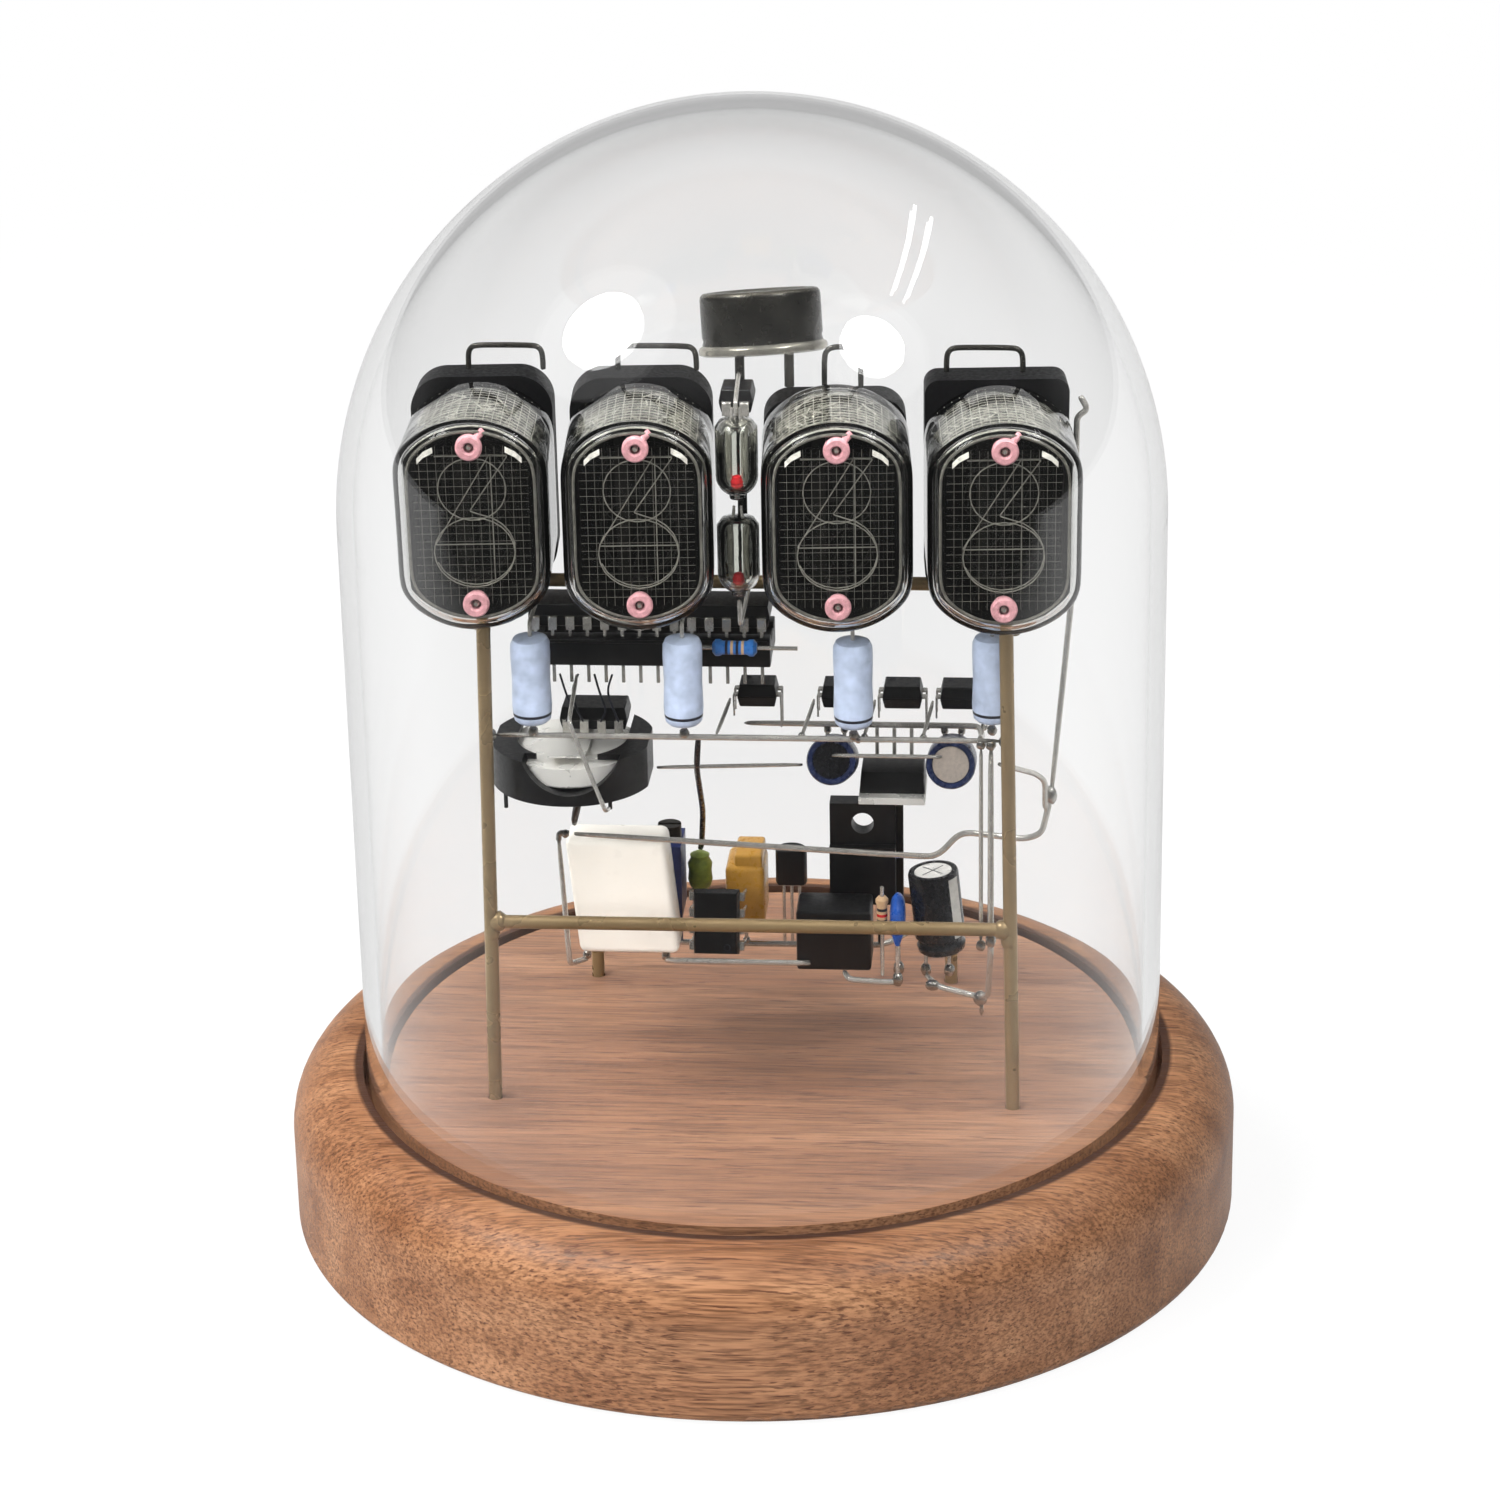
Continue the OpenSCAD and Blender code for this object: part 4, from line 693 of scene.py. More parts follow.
def numerals(index):
    """Ten numerals of fine wire, one behind another; those behind the front ones get painted shade.
    """
    stack = Shape(f"numerals_{index + 1}", "digit_steel")
    place = tube_place(index)
    for layer, numeral in enumerate(NUMERAL_ORDER):
        # painted shade: numerals behind the front ones are painted dark
        stack.use("digit_steel" if layer < LIT_NUMERALS else "painted_shade_dark")
        depth = NUMERAL_DEPTH + layer * NUMERAL_PITCH
        for stroke in NUMERALS[numeral]:
            stack.wire([place @ Vector((x * NUMERAL_W / 2, depth, z * NUMERAL_H / 2))
                        for x, z in stroke], NUMERAL_WIRE, 0.3, 6)
    stack.finish([f"digit_stack_{index + 1}"])


def gauze(index):
    """Fine anode gauze in a flat frame behind the face, wires under the top of the glass, and
    two bright clips at the arch's shoulders, which are painted glints."""
    panel = Shape(f"gauze_{index + 1}", "mesh_steel")
    place = tube_place(index)

    def point(x, depth, z):
        return place @ Vector((x, depth, z))

    edge = TUBE_ARCH - TUBE_WALL - 0.9
    for k in range(-6, 7):
        x = k * GAUZE_PITCH
        top = min(GAUZE_HALF_H, ARCH_CENTRE + math.sqrt(edge * edge - x * x))
        panel.rod(point(x, MESH_DEPTH, -top), point(x, MESH_DEPTH, top), GAUZE_WIRE, 6)
    depth = MESH_DEPTH + 0.1
    for k in range(-9, 10):
        z = k * GAUZE_PITCH
        reach = math.sqrt(max(edge * edge - max(0, abs(z) - ARCH_CENTRE) ** 2, 0))
        reach = min(GAUZE_HALF_W, reach)
        panel.rod(point(-reach, depth, z), point(reach, depth, z), GAUZE_WIRE, 6)
    rim = [point(p.x, depth, p.y) for p in tube_outline(TUBE_WALL + 0.75, 96)]
    panel.wire(rim, 0.22, 0, 6, closed=True)
    panel.use("top_wire")
    reach = TUBE_ARCH - TUBE_WALL - 0.3

    def over(turn, depth):
        """Point just under the glass on top of the tube."""
        angle = math.radians(turn)
        return point(reach * math.sin(angle), depth, ARCH_CENTRE + reach * math.cos(angle))

    for k in range(15):
        arc = [over(-44 + 8 * i, TOP_FRONT + 1.15 * k) for i in range(12)]
        panel.wire(arc, TOP_WIRE, 0, 5)
    for k in range(16):
        panel.rod(over(-45 + 6 * k, TOP_FRONT), over(-45 + 6 * k, TOP_BACK), TOP_WIRE, 5)
    for k in range(16):
        turn, depth, lean = DICE.uniform(-38, 38), DICE.uniform(3, 16), DICE.uniform(-9, 9)
        panel.wire([over(turn, depth), over(turn + lean, depth + 1.4),
                    over(turn + lean * 1.6, depth + 2.4)], TOP_WIRE * 2, 0.8, 5)
    # painted glints: two pale clips at the shoulders of the arch stand in for reflections of the
    # lamps
    panel.use("painted_glint_clip")
    for side in (-1, 1):
        panel.loft([[(side * x, y, z + 0.35), (side * x, y, z - 0.4),
                     (side * x, y + 0.2, z - 0.4), (side * x, y + 0.2, z + 0.35)]
                    for x, y, z in ((4.9, 1.5, 11.2), (6.2, 1.5, 10.5), (7.1, 1.8, 9.5))], place)
    panel.finish([f"anode_mesh_{index + 1}"])


def ceramics():
    """Pink ceramic rings above and below the numerals, each with its pin; the upper ones have
    a little tail."""
    rings = Shape("ceramic_rings", "pink_ceramic")
    pins = Shape("ceramic_pins", "tinned_wire")
    sleeve = [(0.7, -1.2), (0.7, -9), (1.5, -9), (1.5, -1.2)]
    ring = [(1.5, -1.2), (1.5, -0.2), (1.85, 0.1), (1.85, 0.7), (1.6, 1.0), (0.95, 1.0),
            (0.7, 0.7), (0.7, -1.2)]
    for index in range(4):
        for side in (-1, 1):
            place = tube_place(index) @ at(0, MESH_DEPTH + 0.2, side * (NUMERAL_H / 2 + 2), rx=90)
            # painted shade: the sleeve under each ring is painted dark so that it sinks into the
            # tube's dark inside
            rings.turned((("painted_shade_dark", sleeve), ("pink_ceramic", ring)), place, 28)
            pins.lathe([(0, -1), (0.42, -1), (0.42, 0.5), (0.25, 0.75), (0, 0.8)], place, 14)
            if side > 0:
                rings.rod(place @ Vector((0.9, 1.1, 0.2)), place @ Vector((2.0, 2.2, -0.3)),
                          0.5, 12, 0.15)
    rings.finish(["ceramic_spacers"], weld=True)
    pins.finish()


def tubes():
    for index in range(4):
        tube_envelope(index)
        numerals(index)
        gauze(index)
        refinish(f"tube_shield_{index + 1}", "shield_steel")
        refinish(f"tube_base_{index + 1}", "base_black")
    ceramics()
    refinish("tube_pins", "tinned_wire")


# ---------- colon lamps and can ----------


def lamp_profile(radius, start, end, tip):
    """Glass of a colon lamp, with its drawn tip below."""
    foot = [(0, start - tip), (0.35 * radius, start - tip * 0.5)] if tip else [(0, start)]
    bowl = [(radius * math.sin(a), start + radius - radius * math.cos(a))
            for a in (math.pi / 2 * i / 8 for i in range(2, 9))]
    return foot + bowl + [(radius, end - 1.2), (radius * 0.8, end - 0.3), (radius * 0.45, end),
                          (0, end)]


def colon_lamps():
    """Two small glass lamps, hanging tip down, each with two electrodes and a red tip."""
    outer, inner = Shape("lamp_glass", "neon_glass"), Shape("lamp_inner", "neon_glass")
    tips = Shape("lamp_tips", "neon_glass")
    tips.use("red_glass")
    rods = Shape("lamp_electrodes", "tinned_wire")
    for low, high, centre in sorted(solids("neon_glass"), key=lambda solid: solid[0].z):
        radius, length = (high.x - low.x) / 2, high.z - low.z
        place = at(centre.x, centre.y, low.z)
        outer.lathe(lamp_profile(radius, 0.8, length, 0.8), place, 32)
        inner.lathe(lamp_profile(radius - 0.45, 1.25, length - 0.5, 0), place, 32)
        tips.lathe([(0, 1.5), (0.7, 1.7), (0.95, 2.3), (0.6, 3.2), (0, 3.4)], place, 16)
        for side in (-1, 1):
            x, y, top = centre.x + side * 1.05, centre.y, high.z
            rods.rod((x, y, low.z + 2.9), (x, y, top - 1.2), 0.42, 14, 0.12)
            rods.wire([(x, y, top - 1.2), (x * 0.6 + centre.x * 0.4, y, top + 0.2),
                       (centre.x + side * 0.5, y, top + 1.6)], 0.2, 0.6, 8)
    outer.add_inner(inner)
    outer.finish(["neon_glass"], sharp=60, two_skins=True)
    tips.finish()
    rods.finish()


def metal_can():
    """Sealed can of dark nickel: drawn body with a rolled flange and a faintly dished lid; the
    flange and the rim are painted lighter, as painted highlights.
    """
    can = Shape("sealed_can", "nickel_can")
    r, h = 8.8, 9.0
    # the flange and the rim are painted lighter than the body: painted highlights on the one nickel
    # sheet
    can.turned((
        ("can_flange_highlight", [(0, 0.1), (r - 1.2, 0.1), (r - 0.2, 0.0), (r + 0.45, 0.25),
                      (r + 0.5, 0.9), (r + 0.35, 1.2), (r - 0.1, 1.5)]),
        ("nickel_can", [(r - 0.1, 1.5), (r - 0.25, 2.2), (r - 0.1, 2.7), (r - 0.1, h - 0.9),
                        (r - 0.2, h - 0.45)]),
        ("can_rim_highlight", [(r - 0.2, h - 0.45), (r - 0.5, h - 0.1), (r - 0.9, h)]),
        ("can_lid", [(r - 0.9, h), (r - 1.7, h + 0.05), (r - 2.2, h - 0.25), (r - 2.8, h - 0.3),
                     (0, h - 0.2)]),
    ), at(1.7, 4.5, WOOD_TOP + 108.3, rx=-14, ry=-4), 96)
    can.use("dark_wire")
    foot = solids("metal_can")[0][0].z
    can.rod((-1.4, 0.2, foot), (-1.4, 0.2, WOOD_TOP + 109.6), 0.7, 16)
    can.rod((6, -4.1, WOOD_TOP + 106.1), (6, -4.1, WOOD_TOP + 111), 0.7, 16)
    can.finish(["metal_can"], weld=True)


# ---------- chips ----------

PITCH, SEAM, CHIP_THICK = 2.54, 1.65, 3.4
# between these widths along x a coupler stands a quarter turned
TURNED_WIDTH = (5.5, 8.5)
# from the bottom of the microcontroller down to that of its socket
SOCKET_DROP = 5.1


def dip(body, pins, place, pairs, width, rear, front):
    """Dual-in-line package: body bottom at z = 0, pins down to -rear behind, -front in front."""
    length = pairs * PITCH - 0.2
    grow = (1 - 0.35 * 2 / length, 1 - 0.35 * 2 / width)
    for low, high, turn in ((0.0, SEAM, 180), (SEAM, CHIP_THICK, 0)):
        body.box((length, width, high - low), place @ at(0, 0, (low + high) / 2, rx=turn),
                 0.12, 1, top=grow)
    body.use("dark_mark")
    body.lathe([(0, 0), (0.55, 0), (0.55, 0.06), (0.4, 0.06), (0.35, 0.0), (0, 0)],
               place @ at(-length / 2 + 1.3, -width / 4, CHIP_THICK - 0.02), 16)
    body.use(body.slot)
    for k in range(pairs):
        x = (k - (pairs - 1) / 2) * PITCH
        for side, drop in ((1, rear), (-1, front)):
            y0, y1 = side * (width / 2 - 0.2), side * (width / 2 + 0.55)
            for size, y, z, bevel in (((1.3, abs(y1 - y0) + 0.15, 0.28), (y0 + y1) / 2, SEAM, 0.06),
                                      ((1.3, 0.28, 1.9), y1, SEAM - 0.9, 0.06),
                                      ((0.5, 0.27, drop + 0.4), y1, -drop / 2 + 0.1, 0.05)):
                pins.box(size, place @ at(x, y, z), bevel, 1)


def chips():
    pins = Shape("chip_pins", "tinned_wire")
    couplers = Shape("coupler_packages", "black_plastic")
    for low, high, centre in solids("optocouplers"):
        wide, deep = high.x - low.x, high.y - low.y
        turned = TURNED_WIDTH[0] < wide < TURNED_WIDTH[1]
        pairs = round(((deep if turned else wide) + 0.2) / PITCH)
        bottom = high.z - CHIP_THICK
        rear = bottom - low.z
        place = at(centre.x, centre.y, bottom, rz=-90 if turned else 0)
        dip(couplers, pins, place, pairs, 5.8, rear, min(rear, 1.6))
    couplers.finish(["optocouplers"])

    _, high, centre = corners("microcontroller")
    micro = Shape("microcontroller_package", "black_plastic")
    bottom = high.z - CHIP_THICK
    dip(micro, pins, at(centre.x, centre.y, bottom), 14, 7.0, 1.2, 1.2)
    socket, length = bottom - SOCKET_DROP, 14 * PITCH
    for side in (-1, 1):
        micro.box((length, 2.6, 4.0), at(centre.x, centre.y + side * 3.7, socket + 2.0), 0.2, 2)
        micro.box((length - 0.6, 0.5, 0.5), at(centre.x, centre.y + side * 5.05, socket + 3.6),
                  0.12, 1)
    for share in (-0.5, -0.17, 0.17, 0.5):
        micro.box((2.2, 6.0, 3.0), at(centre.x + share * (length - 2.2), centre.y, socket + 1.7),
                  0.2, 1)
    for k in range(14):
        for side in (-1, 1):
            pins.box((0.5, 0.3, 3.1), at(centre.x + (k - 6.5) * PITCH, centre.y + side * 3.8,
                                         socket - 1.45), 0.06, 1)
    micro.finish(["microcontroller"])

    low, _, centre = corners("digit_decoder")
    decoder = Shape("decoder_package", "black_plastic")
    dip(decoder, pins, at(centre.x, low.y + 3, centre.z, rx=-90) @ at(rz=90), 8, 6.5, 3, 3)
    decoder.finish(["digit_decoder"])

    controller = Shape("controller_package", "black_plastic")
    place = at(-6.6, 1.2, WOOD_TOP + 15.2, rx=78) @ at(0, 2 * PITCH, 0) @ at(rz=90)
    dip(controller, pins, place, 4, 7, 3.2, 3.2)
    controller.finish(["boost_controller"])
    pins.finish()


# ---------- capacitors, resistors and the rest ----------

LEADS = Shape("component_leads", "tinned_wire")
JOINTS = []
ROUND = (1, 1, 1.15)


def joint(x, y, z, radius, stretch=ROUND):
    JOINTS.append(((x, y, z), radius, stretch))


def lead(x, y, low, high, lump=0.0, sink=0.0, stretch=ROUND, radius=LEAD, steps=12):
    """Upright lead, with a lump of solder that sinks below its foot where lump gives a radius."""
    LEADS.rod((x, y, low), (x, y, high), radius, steps)
    if lump:
        joint(x, y, low - sink, lump, stretch)


def sleeve_can(shape, place, r, h, face, vent=False):
    """Aluminium capacitor in a shrink sleeve, its free end at z = h."""
    shape.use(shape.slot)
    shape.lathe([(0, 0), (r - 0.5, 0), (r - 0.25, 0.25), (r - 0.1, 1.1), (r - 0.42, 1.6),
                 (r - 0.42, 2.0), (r, 2.5), (r, h - 0.5), (r - 0.15, h - 0.1), (r - 0.5, h),
                 (r - 0.85, h - 0.05), (r - 0.9, h - 0.3), (0, h - 0.3)], place, 48)
    shape.use(face)
    shape.lathe([(0, h - 0.32), (r - 0.95, h - 0.32), (r - 1.0, h - 0.16), (r - 1.2, h - 0.12),
                 (0, h - 0.12)], place, 40)
    if vent:
        shape.use("dark_mark")
        for turn in (45, 135):
            shape.box((r * 1.1, 0.16, 0.05), place @ at(0, 0, h - 0.11, rz=turn), 0.0)


def round_capacitors():
    small = Shape("end_on_capacitors", "sleeve_dark_blue")
    looks = (("sleeve_black", 20), ("aluminium_face", 16))
    for (low, high, centre), (face, tilt) in zip(solids("small_capacitors"), looks):
        radius, half = (high.x - low.x) / 2, 5.5
        sine, cosine = math.sin(math.radians(tilt)), math.cos(math.radians(tilt))
        y, z = low.y + half * cosine + radius * sine, low.z + half * sine + radius * cosine
        place = at(centre.x, y, z, rx=90 - tilt) @ at(z=-half)
        sleeve_can(small, place, radius, 11, face)
        for x in (centre.x - 1.25, centre.x + 1.25):
            end = (x, -1.55, WOOD_TOP + 52.85)
            LEADS.rod((x, y + half * cosine - 0.6, z + 1 - half * sine), end, LEAD, 12)
            joint(*end, 0.6)
    small.finish(["small_capacitors"])

    low, high, centre = corners("reservoir_capacitor")
    reservoir, radius = Shape("reservoir_can", "sleeve_black"), 3.8
    place = at(centre.x, centre.y, high.z - 6.86, ry=-6) @ at(z=-6.5)
    sleeve_can(reservoir, place, radius, 13, "cell_steel", vent=True)
    reservoir.use("pale_mark")
    stripe = [(math.cos(a) * (radius + 0.03), math.sin(a) * (radius + 0.03), z)
              for z in (2.7, 12.3) for a in (math.radians(-52 + 5 * i) for i in range(7))]
    reservoir.faces_from(stripe, [(i, i + 1, i + 8, i + 7) for i in range(6)], place)
    for x in (centre.x - 1.75, centre.x + 1.75):
        lead(x, centre.y, low.z, low.z + 5.2, 0.85, 0.1, (1, 1, 1.3))
    reservoir.finish(["reservoir_capacitor"])


def box_capacitors():
    low, high, centre = corners("white_capacitor")
    middle_z = high.z - 9.88
    white = Shape("white_box_capacitor", "white_plastic")
    lean = Matrix.Identity(4)
    lean[0][2] = -math.tan(math.radians(5.5))
    white.box((15, high.y - low.y, 18.4), at(centre.x, centre.y, middle_z) @ lean, 1.0, 4)
    for x in (centre.x - 6, centre.x + 6):
        lead(x, centre.y, low.z, middle_z - 7.6, 0.7)
    white.finish(["white_capacitor"])

    low, high, centre = corners("yellow_capacitor")
    foot = high.z - 11.5
    yellow = Shape("yellow_dipped_capacitor", "mustard")
    width, depth = high.x - low.x, high.y - low.y
    yellow.box((width, depth, 9.7), at(centre.x, centre.y, foot + 4.85), 0.9, 3)
    yellow.box((width * 0.72, depth * 0.9, 3.4),
               at(centre.x + 0.5, centre.y + 0.2, high.z - 1.75), 0.5, 3)
    for y in (low.y + 1.2, high.y - 1.2):
        lead(centre.x, y, low.z, foot + 1, 0.6)
    yellow.finish(["yellow_capacitor"])


def bead_and_disc():
    low, high, centre = corners("green_capacitor")
    green = Shape("green_bead", "olive")
    green.lathe([(0, 0), (0.9, 0.1), (1.6, 0.7), (1.9, 1.8), (1.75, 3.3), (1.9, 4.4), (1.4, 5.3),
                 (1.5, 5.8), (0.8, 6.2), (0, 6.3)], at(centre.x, centre.y, high.z - 6.2), 24)
    for x in (centre.x - 1, centre.x + 1):
        lead(x, centre.y, low.z, high.z - 5.5, 0.6, steps=10)
    green.finish(["green_capacitor"])

    low, high, centre = corners("disc_capacitor")
    disc = Shape("blue_disc", "disc_blue")
    half = [(1.6, 1.12), (2.7, 0.9), (3.3, 0.45)]
    disc.lathe([(0, -1.15)] + [(r, -z) for r, z in half] + [(3.5, 0)] + half[::-1] + [(0, 1.15)],
               at(centre.x, centre.y, high.z - 3.5, ry=90), 36)
    for y in (centre.y - 2, centre.y + 2):
        disc.lathe([(0, 0), (0.35, 0), (0.6, 0.8), (0.9, 1.8), (0, 1.9)],
                   at(centre.x, y, high.z - 7.5), 16)
        lead(centre.x, y, low.z, high.z - 6, 0.85, 0.2, (1, 1, 1.4))
    disc.finish(["disc_capacitor"])


def resistors():
    """Anode resistors stand on the bus; the blue and the tan one are banded."""
    upright = Shape("grey_blue_resistors", "resistor_grey_blue")
    for low, high, centre in solids("anode_resistors"):
        x, r = centre.x, (high.x - low.x) / 2
        y, bottom = low.y + r, low.z + 1.3
        upright.turned((
            ("resistor_grey_blue", [(0, 0.15), (1.2, 0.0), (r - 0.7, 0.12), (r - 0.22, 0.6),
                                    (r - 0.1, 1.3)]),
            ("dark_mark", [(r - 0.1, 1.3), (r - 0.06, 1.75)]),
            ("resistor_grey_blue", [(r - 0.06, 1.75), (r, 2.6), (r - 0.12, 6.5), (r, 10.6),
                                    (r - 0.06, 12.0), (r - 0.4, 12.7), (1.2, 13.0), (0, 12.9)]),
        ), at(x, y, bottom))
        LEADS.rod((x, y, low.z - 0.4), (x, y, bottom + 0.4), LEAD, 12)
        joint(x, y, low.z - 0.2, 0.75)
        LEADS.wire([(x, y, bottom + 12.6), (x, y, high.z - LEAD), (x, high.y, high.z - LEAD)],
                   LEAD, 0.8, 12)
    upright.finish(["anode_resistors"], weld=True)

    pair = Shape("banded_resistors", "resistor_blue")
    low, high, centre = solids("small_resistors")[0]
    banded(pair, at(low.x + 5, centre.y, centre.z, ry=90), 1.2, 6.5, "resistor_blue",
           ("dark_mark", "tan_lacquer", "dark_mark", "tan_lacquer"))
    LEADS.rod((low.x, centre.y, centre.z), (high.x, centre.y, centre.z), LEAD, 12)
    low, high, centre = solids("small_resistors")[-1]
    banded(pair, at(centre.x, centre.y, corners("disc_capacitor")[1].z - 5.9), 0.95, 6,
           "tan_lacquer", ("dark_mark", "red_glass", "dark_mark"))
    lead(centre.x, centre.y, low.z, high.z)
    pair.finish(["small_resistors"], weld=True)


def banded(shape, place, radius, length, ground, bands):
    """Small resistor along z: thicker ends, and bands painted on its waist."""
    waist, cursor = radius * 0.82, length * 0.2 + 0.2
    step = (length - 2 * cursor) / (2 * len(bands) + 1)
    sections = [(ground, [(0, 0), (radius * 0.6, 0.05), (radius, 0.5), (radius, cursor - 0.4),
                          (waist, cursor)])]
    for k in range(2 * len(bands) + 1):
        paint = bands[k // 2] if k % 2 else ground
        sections.append((paint, [(waist, cursor), (waist, cursor + step)]))
        cursor += step
    sections.append((ground, [(waist, cursor), (radius, cursor + 0.4), (radius, length - 0.5),
                              (radius * 0.6, length - 0.05), (0, length)]))
    shape.turned(sections, place, 28)


def power_parts():
    """Regulator, transistors, inductor, trimmer."""
    _, high, centre = corners("voltage_regulator")
    regulator = Shape("regulator_package", "black_plastic")
    back, bottom = -2.0, BUS_Z - 12.4
    regulator.box((9.6, 7.2, 3.3), at(centre.x, back - 3.7, bottom + 2.35), 0.25, 2,
                  top=(0.94, 0.9))
    regulator.use("cell_steel")
    regulator.box((9.7, 9.0, 1.1), at(centre.x, back - 4.3, bottom + 0.15), 0.12, 1)
    for x in (centre.x - PITCH, centre.x, centre.x + PITCH):
        LEADS.wire([(x, back - 0.3, bottom + 2.5), (x, back + 0.6, bottom + 2.5),
                    (x, back + 0.6, high.z)], LEAD, 0.4, 10)
    regulator.finish(["voltage_regulator"])

    refinish("boost_mosfet", "black_plastic")
    high = corners("boost_mosfet")[1]
    plate = Shape("mosfet_plate", "screw_brass")
    plate.box((1.3, 1.0, 15.2), at(high.x + 0.45, high.y - 0.8, high.z - 8.6), 0.15, 1)
    plate.finish()

    low, high, centre = corners("boost_inductor")
    inductor = Shape("inductor_block", "black_plastic")
    inductor.box((high.x - low.x, high.y - low.y, 9.6), at(centre.x, centre.y, high.z - 4.8),
                 0.5, 3)
    for x in (centre.x - 4, centre.x + 4):
        lead(x, centre.y + 2, low.z, low.z + 2.4)
    inductor.finish(["boost_inductor"])

    low, high, centre = corners("small_transistor")
    transistor = Shape("transistor_package", "black_plastic")
    radius, y, top = 2.4, high.y - 2.4, high.z
    angles = [math.radians(-34 + 248 * i / 24) for i in range(25)]
    transistor.loft([[(centre.x + radius * math.cos(a) * share, y + radius * math.sin(a) * share, z)
                      for a in angles]
                     for share, z in ((0.94, top - 5.6), (1.0, top - 5.4), (1.0, top - 0.2),
                                      (0.94, top))])
    for x in (centre.x - 1.2, centre.x, centre.x + 1.2):
        lead(x, y, low.z, top - 5.2, radius=0.25, steps=10)
    transistor.finish(["small_transistor"])

    refinish("trimmer_body", "trimmer_blue")
    refinish("trimmer_screw", "screw_brass")


def coin_holder():
    """The holder keeps its CAD shape; a bright contact strip bends over the cell."""
    refinish("coin_holder", "black_plastic")
    refinish("coin_cell", "cell_steel")
    _, high, centre = corners("coin_cell")
    strip = Shape("contact_strip", "cell_steel")
    half, top = 2.6, high.z + 0.25
    path = ((-8.6, 1.0), (-6.8, 0.55), (-3, 0.12), (2, 0), (6, 0.35), (9.2, 1.2))
    strip.loft([[(centre.x + x, centre.y + y, top + z + up)
                 for x, up in ((-half, 0), (half, 0), (half, 0.22), (-half, 0.22))]
                for y, z in path])
    strip.finish(sharp=50)


# ---------- frame, wires and solder ----------

WIRE_NODES = {
    "upper_bus": "upper_bus_wires",
    "lower_bus": "lower_bus_wires",
    "loop_wires": "hairpin_loops",
    "long_wire": "long_bent_wire",
    "neon_electrodes": "lamp_wires",
}
# opposite corners of the part of the long wire that is a dark strip
DARK_STRIP = ((-28, -12.5, WOOD_TOP + 37.75), (-24, -4, WOOD_TOP + 48))
# x, y, height above the wood, radius and stretch of the lumps of solder on the wires
LUMPS = [
    (43.4, -2.9, 43.4, 1.0, (1, 1, 1.5)), (-36.9, -17.1, 57.6, 0.95, ROUND),
    (36.9, -17.1, 57.6, 0.95, ROUND), (33.5, -16.8, 57.0, 0.7, ROUND),
    (34.9, -16.8, 56.9, 0.75, ROUND), (34.9, -16.9, 26.2, 0.8, (1, 1, 1.4)),
    (33.5, -16.9, 25.4, 0.7, (1, 1, 1.3)), (33.2, -5.4, 11.4, 1.0, (1.1, 1, 1.2)),
    (33.4, -5.5, 9.6, 0.45, (0.8, 0.8, 2.4)), (26.0, -2.6, 12.1, 0.9, (1.3, 1, 1)),
    (-28.3, -4.9, 36.9, 0.6, ROUND), (16.0, -16.9, 57.6, 0.55, ROUND),
]
for coupler_x in (12.9, 21.9, 30.3):
    LUMPS += [(coupler_x - 5, -16.3, 57.7, 0.55, ROUND),
              (coupler_x + 3.4, -2.4, 53.9, 0.55, ROUND)]
LUMPS += [(post_x, 24.3, 12.4, 0.9, ROUND) for post_x in (-27, 27)]


def frame_and_wires():
    for node in ("leg_left", "leg_right", "rear_posts", "front_crossbar", "side_rails",
                 "base_rail"):
        refinish(node, "brass_rod")
    for node, name in WIRE_NODES.items():
        smoothed(node, "tinned_wire", name, 0.05, DARK_STRIP if node == "long_wire" else None,
                 "dark_wire" if node == "loop_wires" else None)
    smoothed("signal_cable", "sleeve_black", "thin_sleeved_wire", 0.03)
    refinish("feed_wires", "red_wire")
    refinish("power_inlet", "black_plastic")
    refinish("wood_base", "beech")


def solder():
    """Lumps of solder where rods, wires and leads meet, and the short ends they bridge."""
    brass = Shape("brazed_joints", "brass_rod")
    low, high, centre = corners("front_crossbar")
    for x, side in ((low.x - ROD, -1), (high.x + ROD, 1)):
        brass.blob((x - side * 0.9, centre.y, centre.z), 1.5, (1.0, 0.95, 1.05))
        brass.blob((x, centre.y, centre.z - 1.6), 1.22, (1, 1, 1.5))
    brass.finish()

    tin = Shape("solder_joints", "solder")
    for x, y, z, radius, stretch in LUMPS:
        joint(x, y, WOOD_TOP + z, radius, stretch)
    for centre, radius, stretch in JOINTS:
        tin.blob(centre, radius, stretch)
    # the long wire's corner above the white capacitor
    tin.wire([(-29.35, -4.9, WOOD_TOP + 35.9), (-29.25, -4.9, WOOD_TOP + 37.05),
              (-27.75, -4.9, WOOD_TOP + 37.0)], BUS, 0.9, 12)
    tin.finish()

    # thin dark wires from the microcontroller's pins down to the chip on the holder
    thin = Shape("thin_links", "dark_mark")
    for x0, x1, sag in ((-28.3, -27.1, 1.0), (-25.6, -24.6, -0.8), (-23.2, -22.0, 0.9),
                        (-20.6, -19.4, -0.6)):
        thin.wire([(x, y, WOOD_TOP + z) for x, y, z in (
            (x0, -4.6, 62.2), (x0 + sag, -6.8, 60.4), (x1 + sag, -8.6, 58.2), (x1, -8.3, 56.3))],
            0.17, 1.6, 8)
    thin.finish()


# ---------- stage ----------

CAMERA_PITCH, CAMERA_YAW, CAMERA_ROLL = (math.radians(a) for a in (22.4, -5.02, -1.14))
CAMERA_PLACE = (0.0527, -0.6113, 0.3253)
SENSOR, FOCAL_SHARE = 36.0, 4485 / 1500
AMBIENT, THROUGH_GLASS = 0.29, 0.8


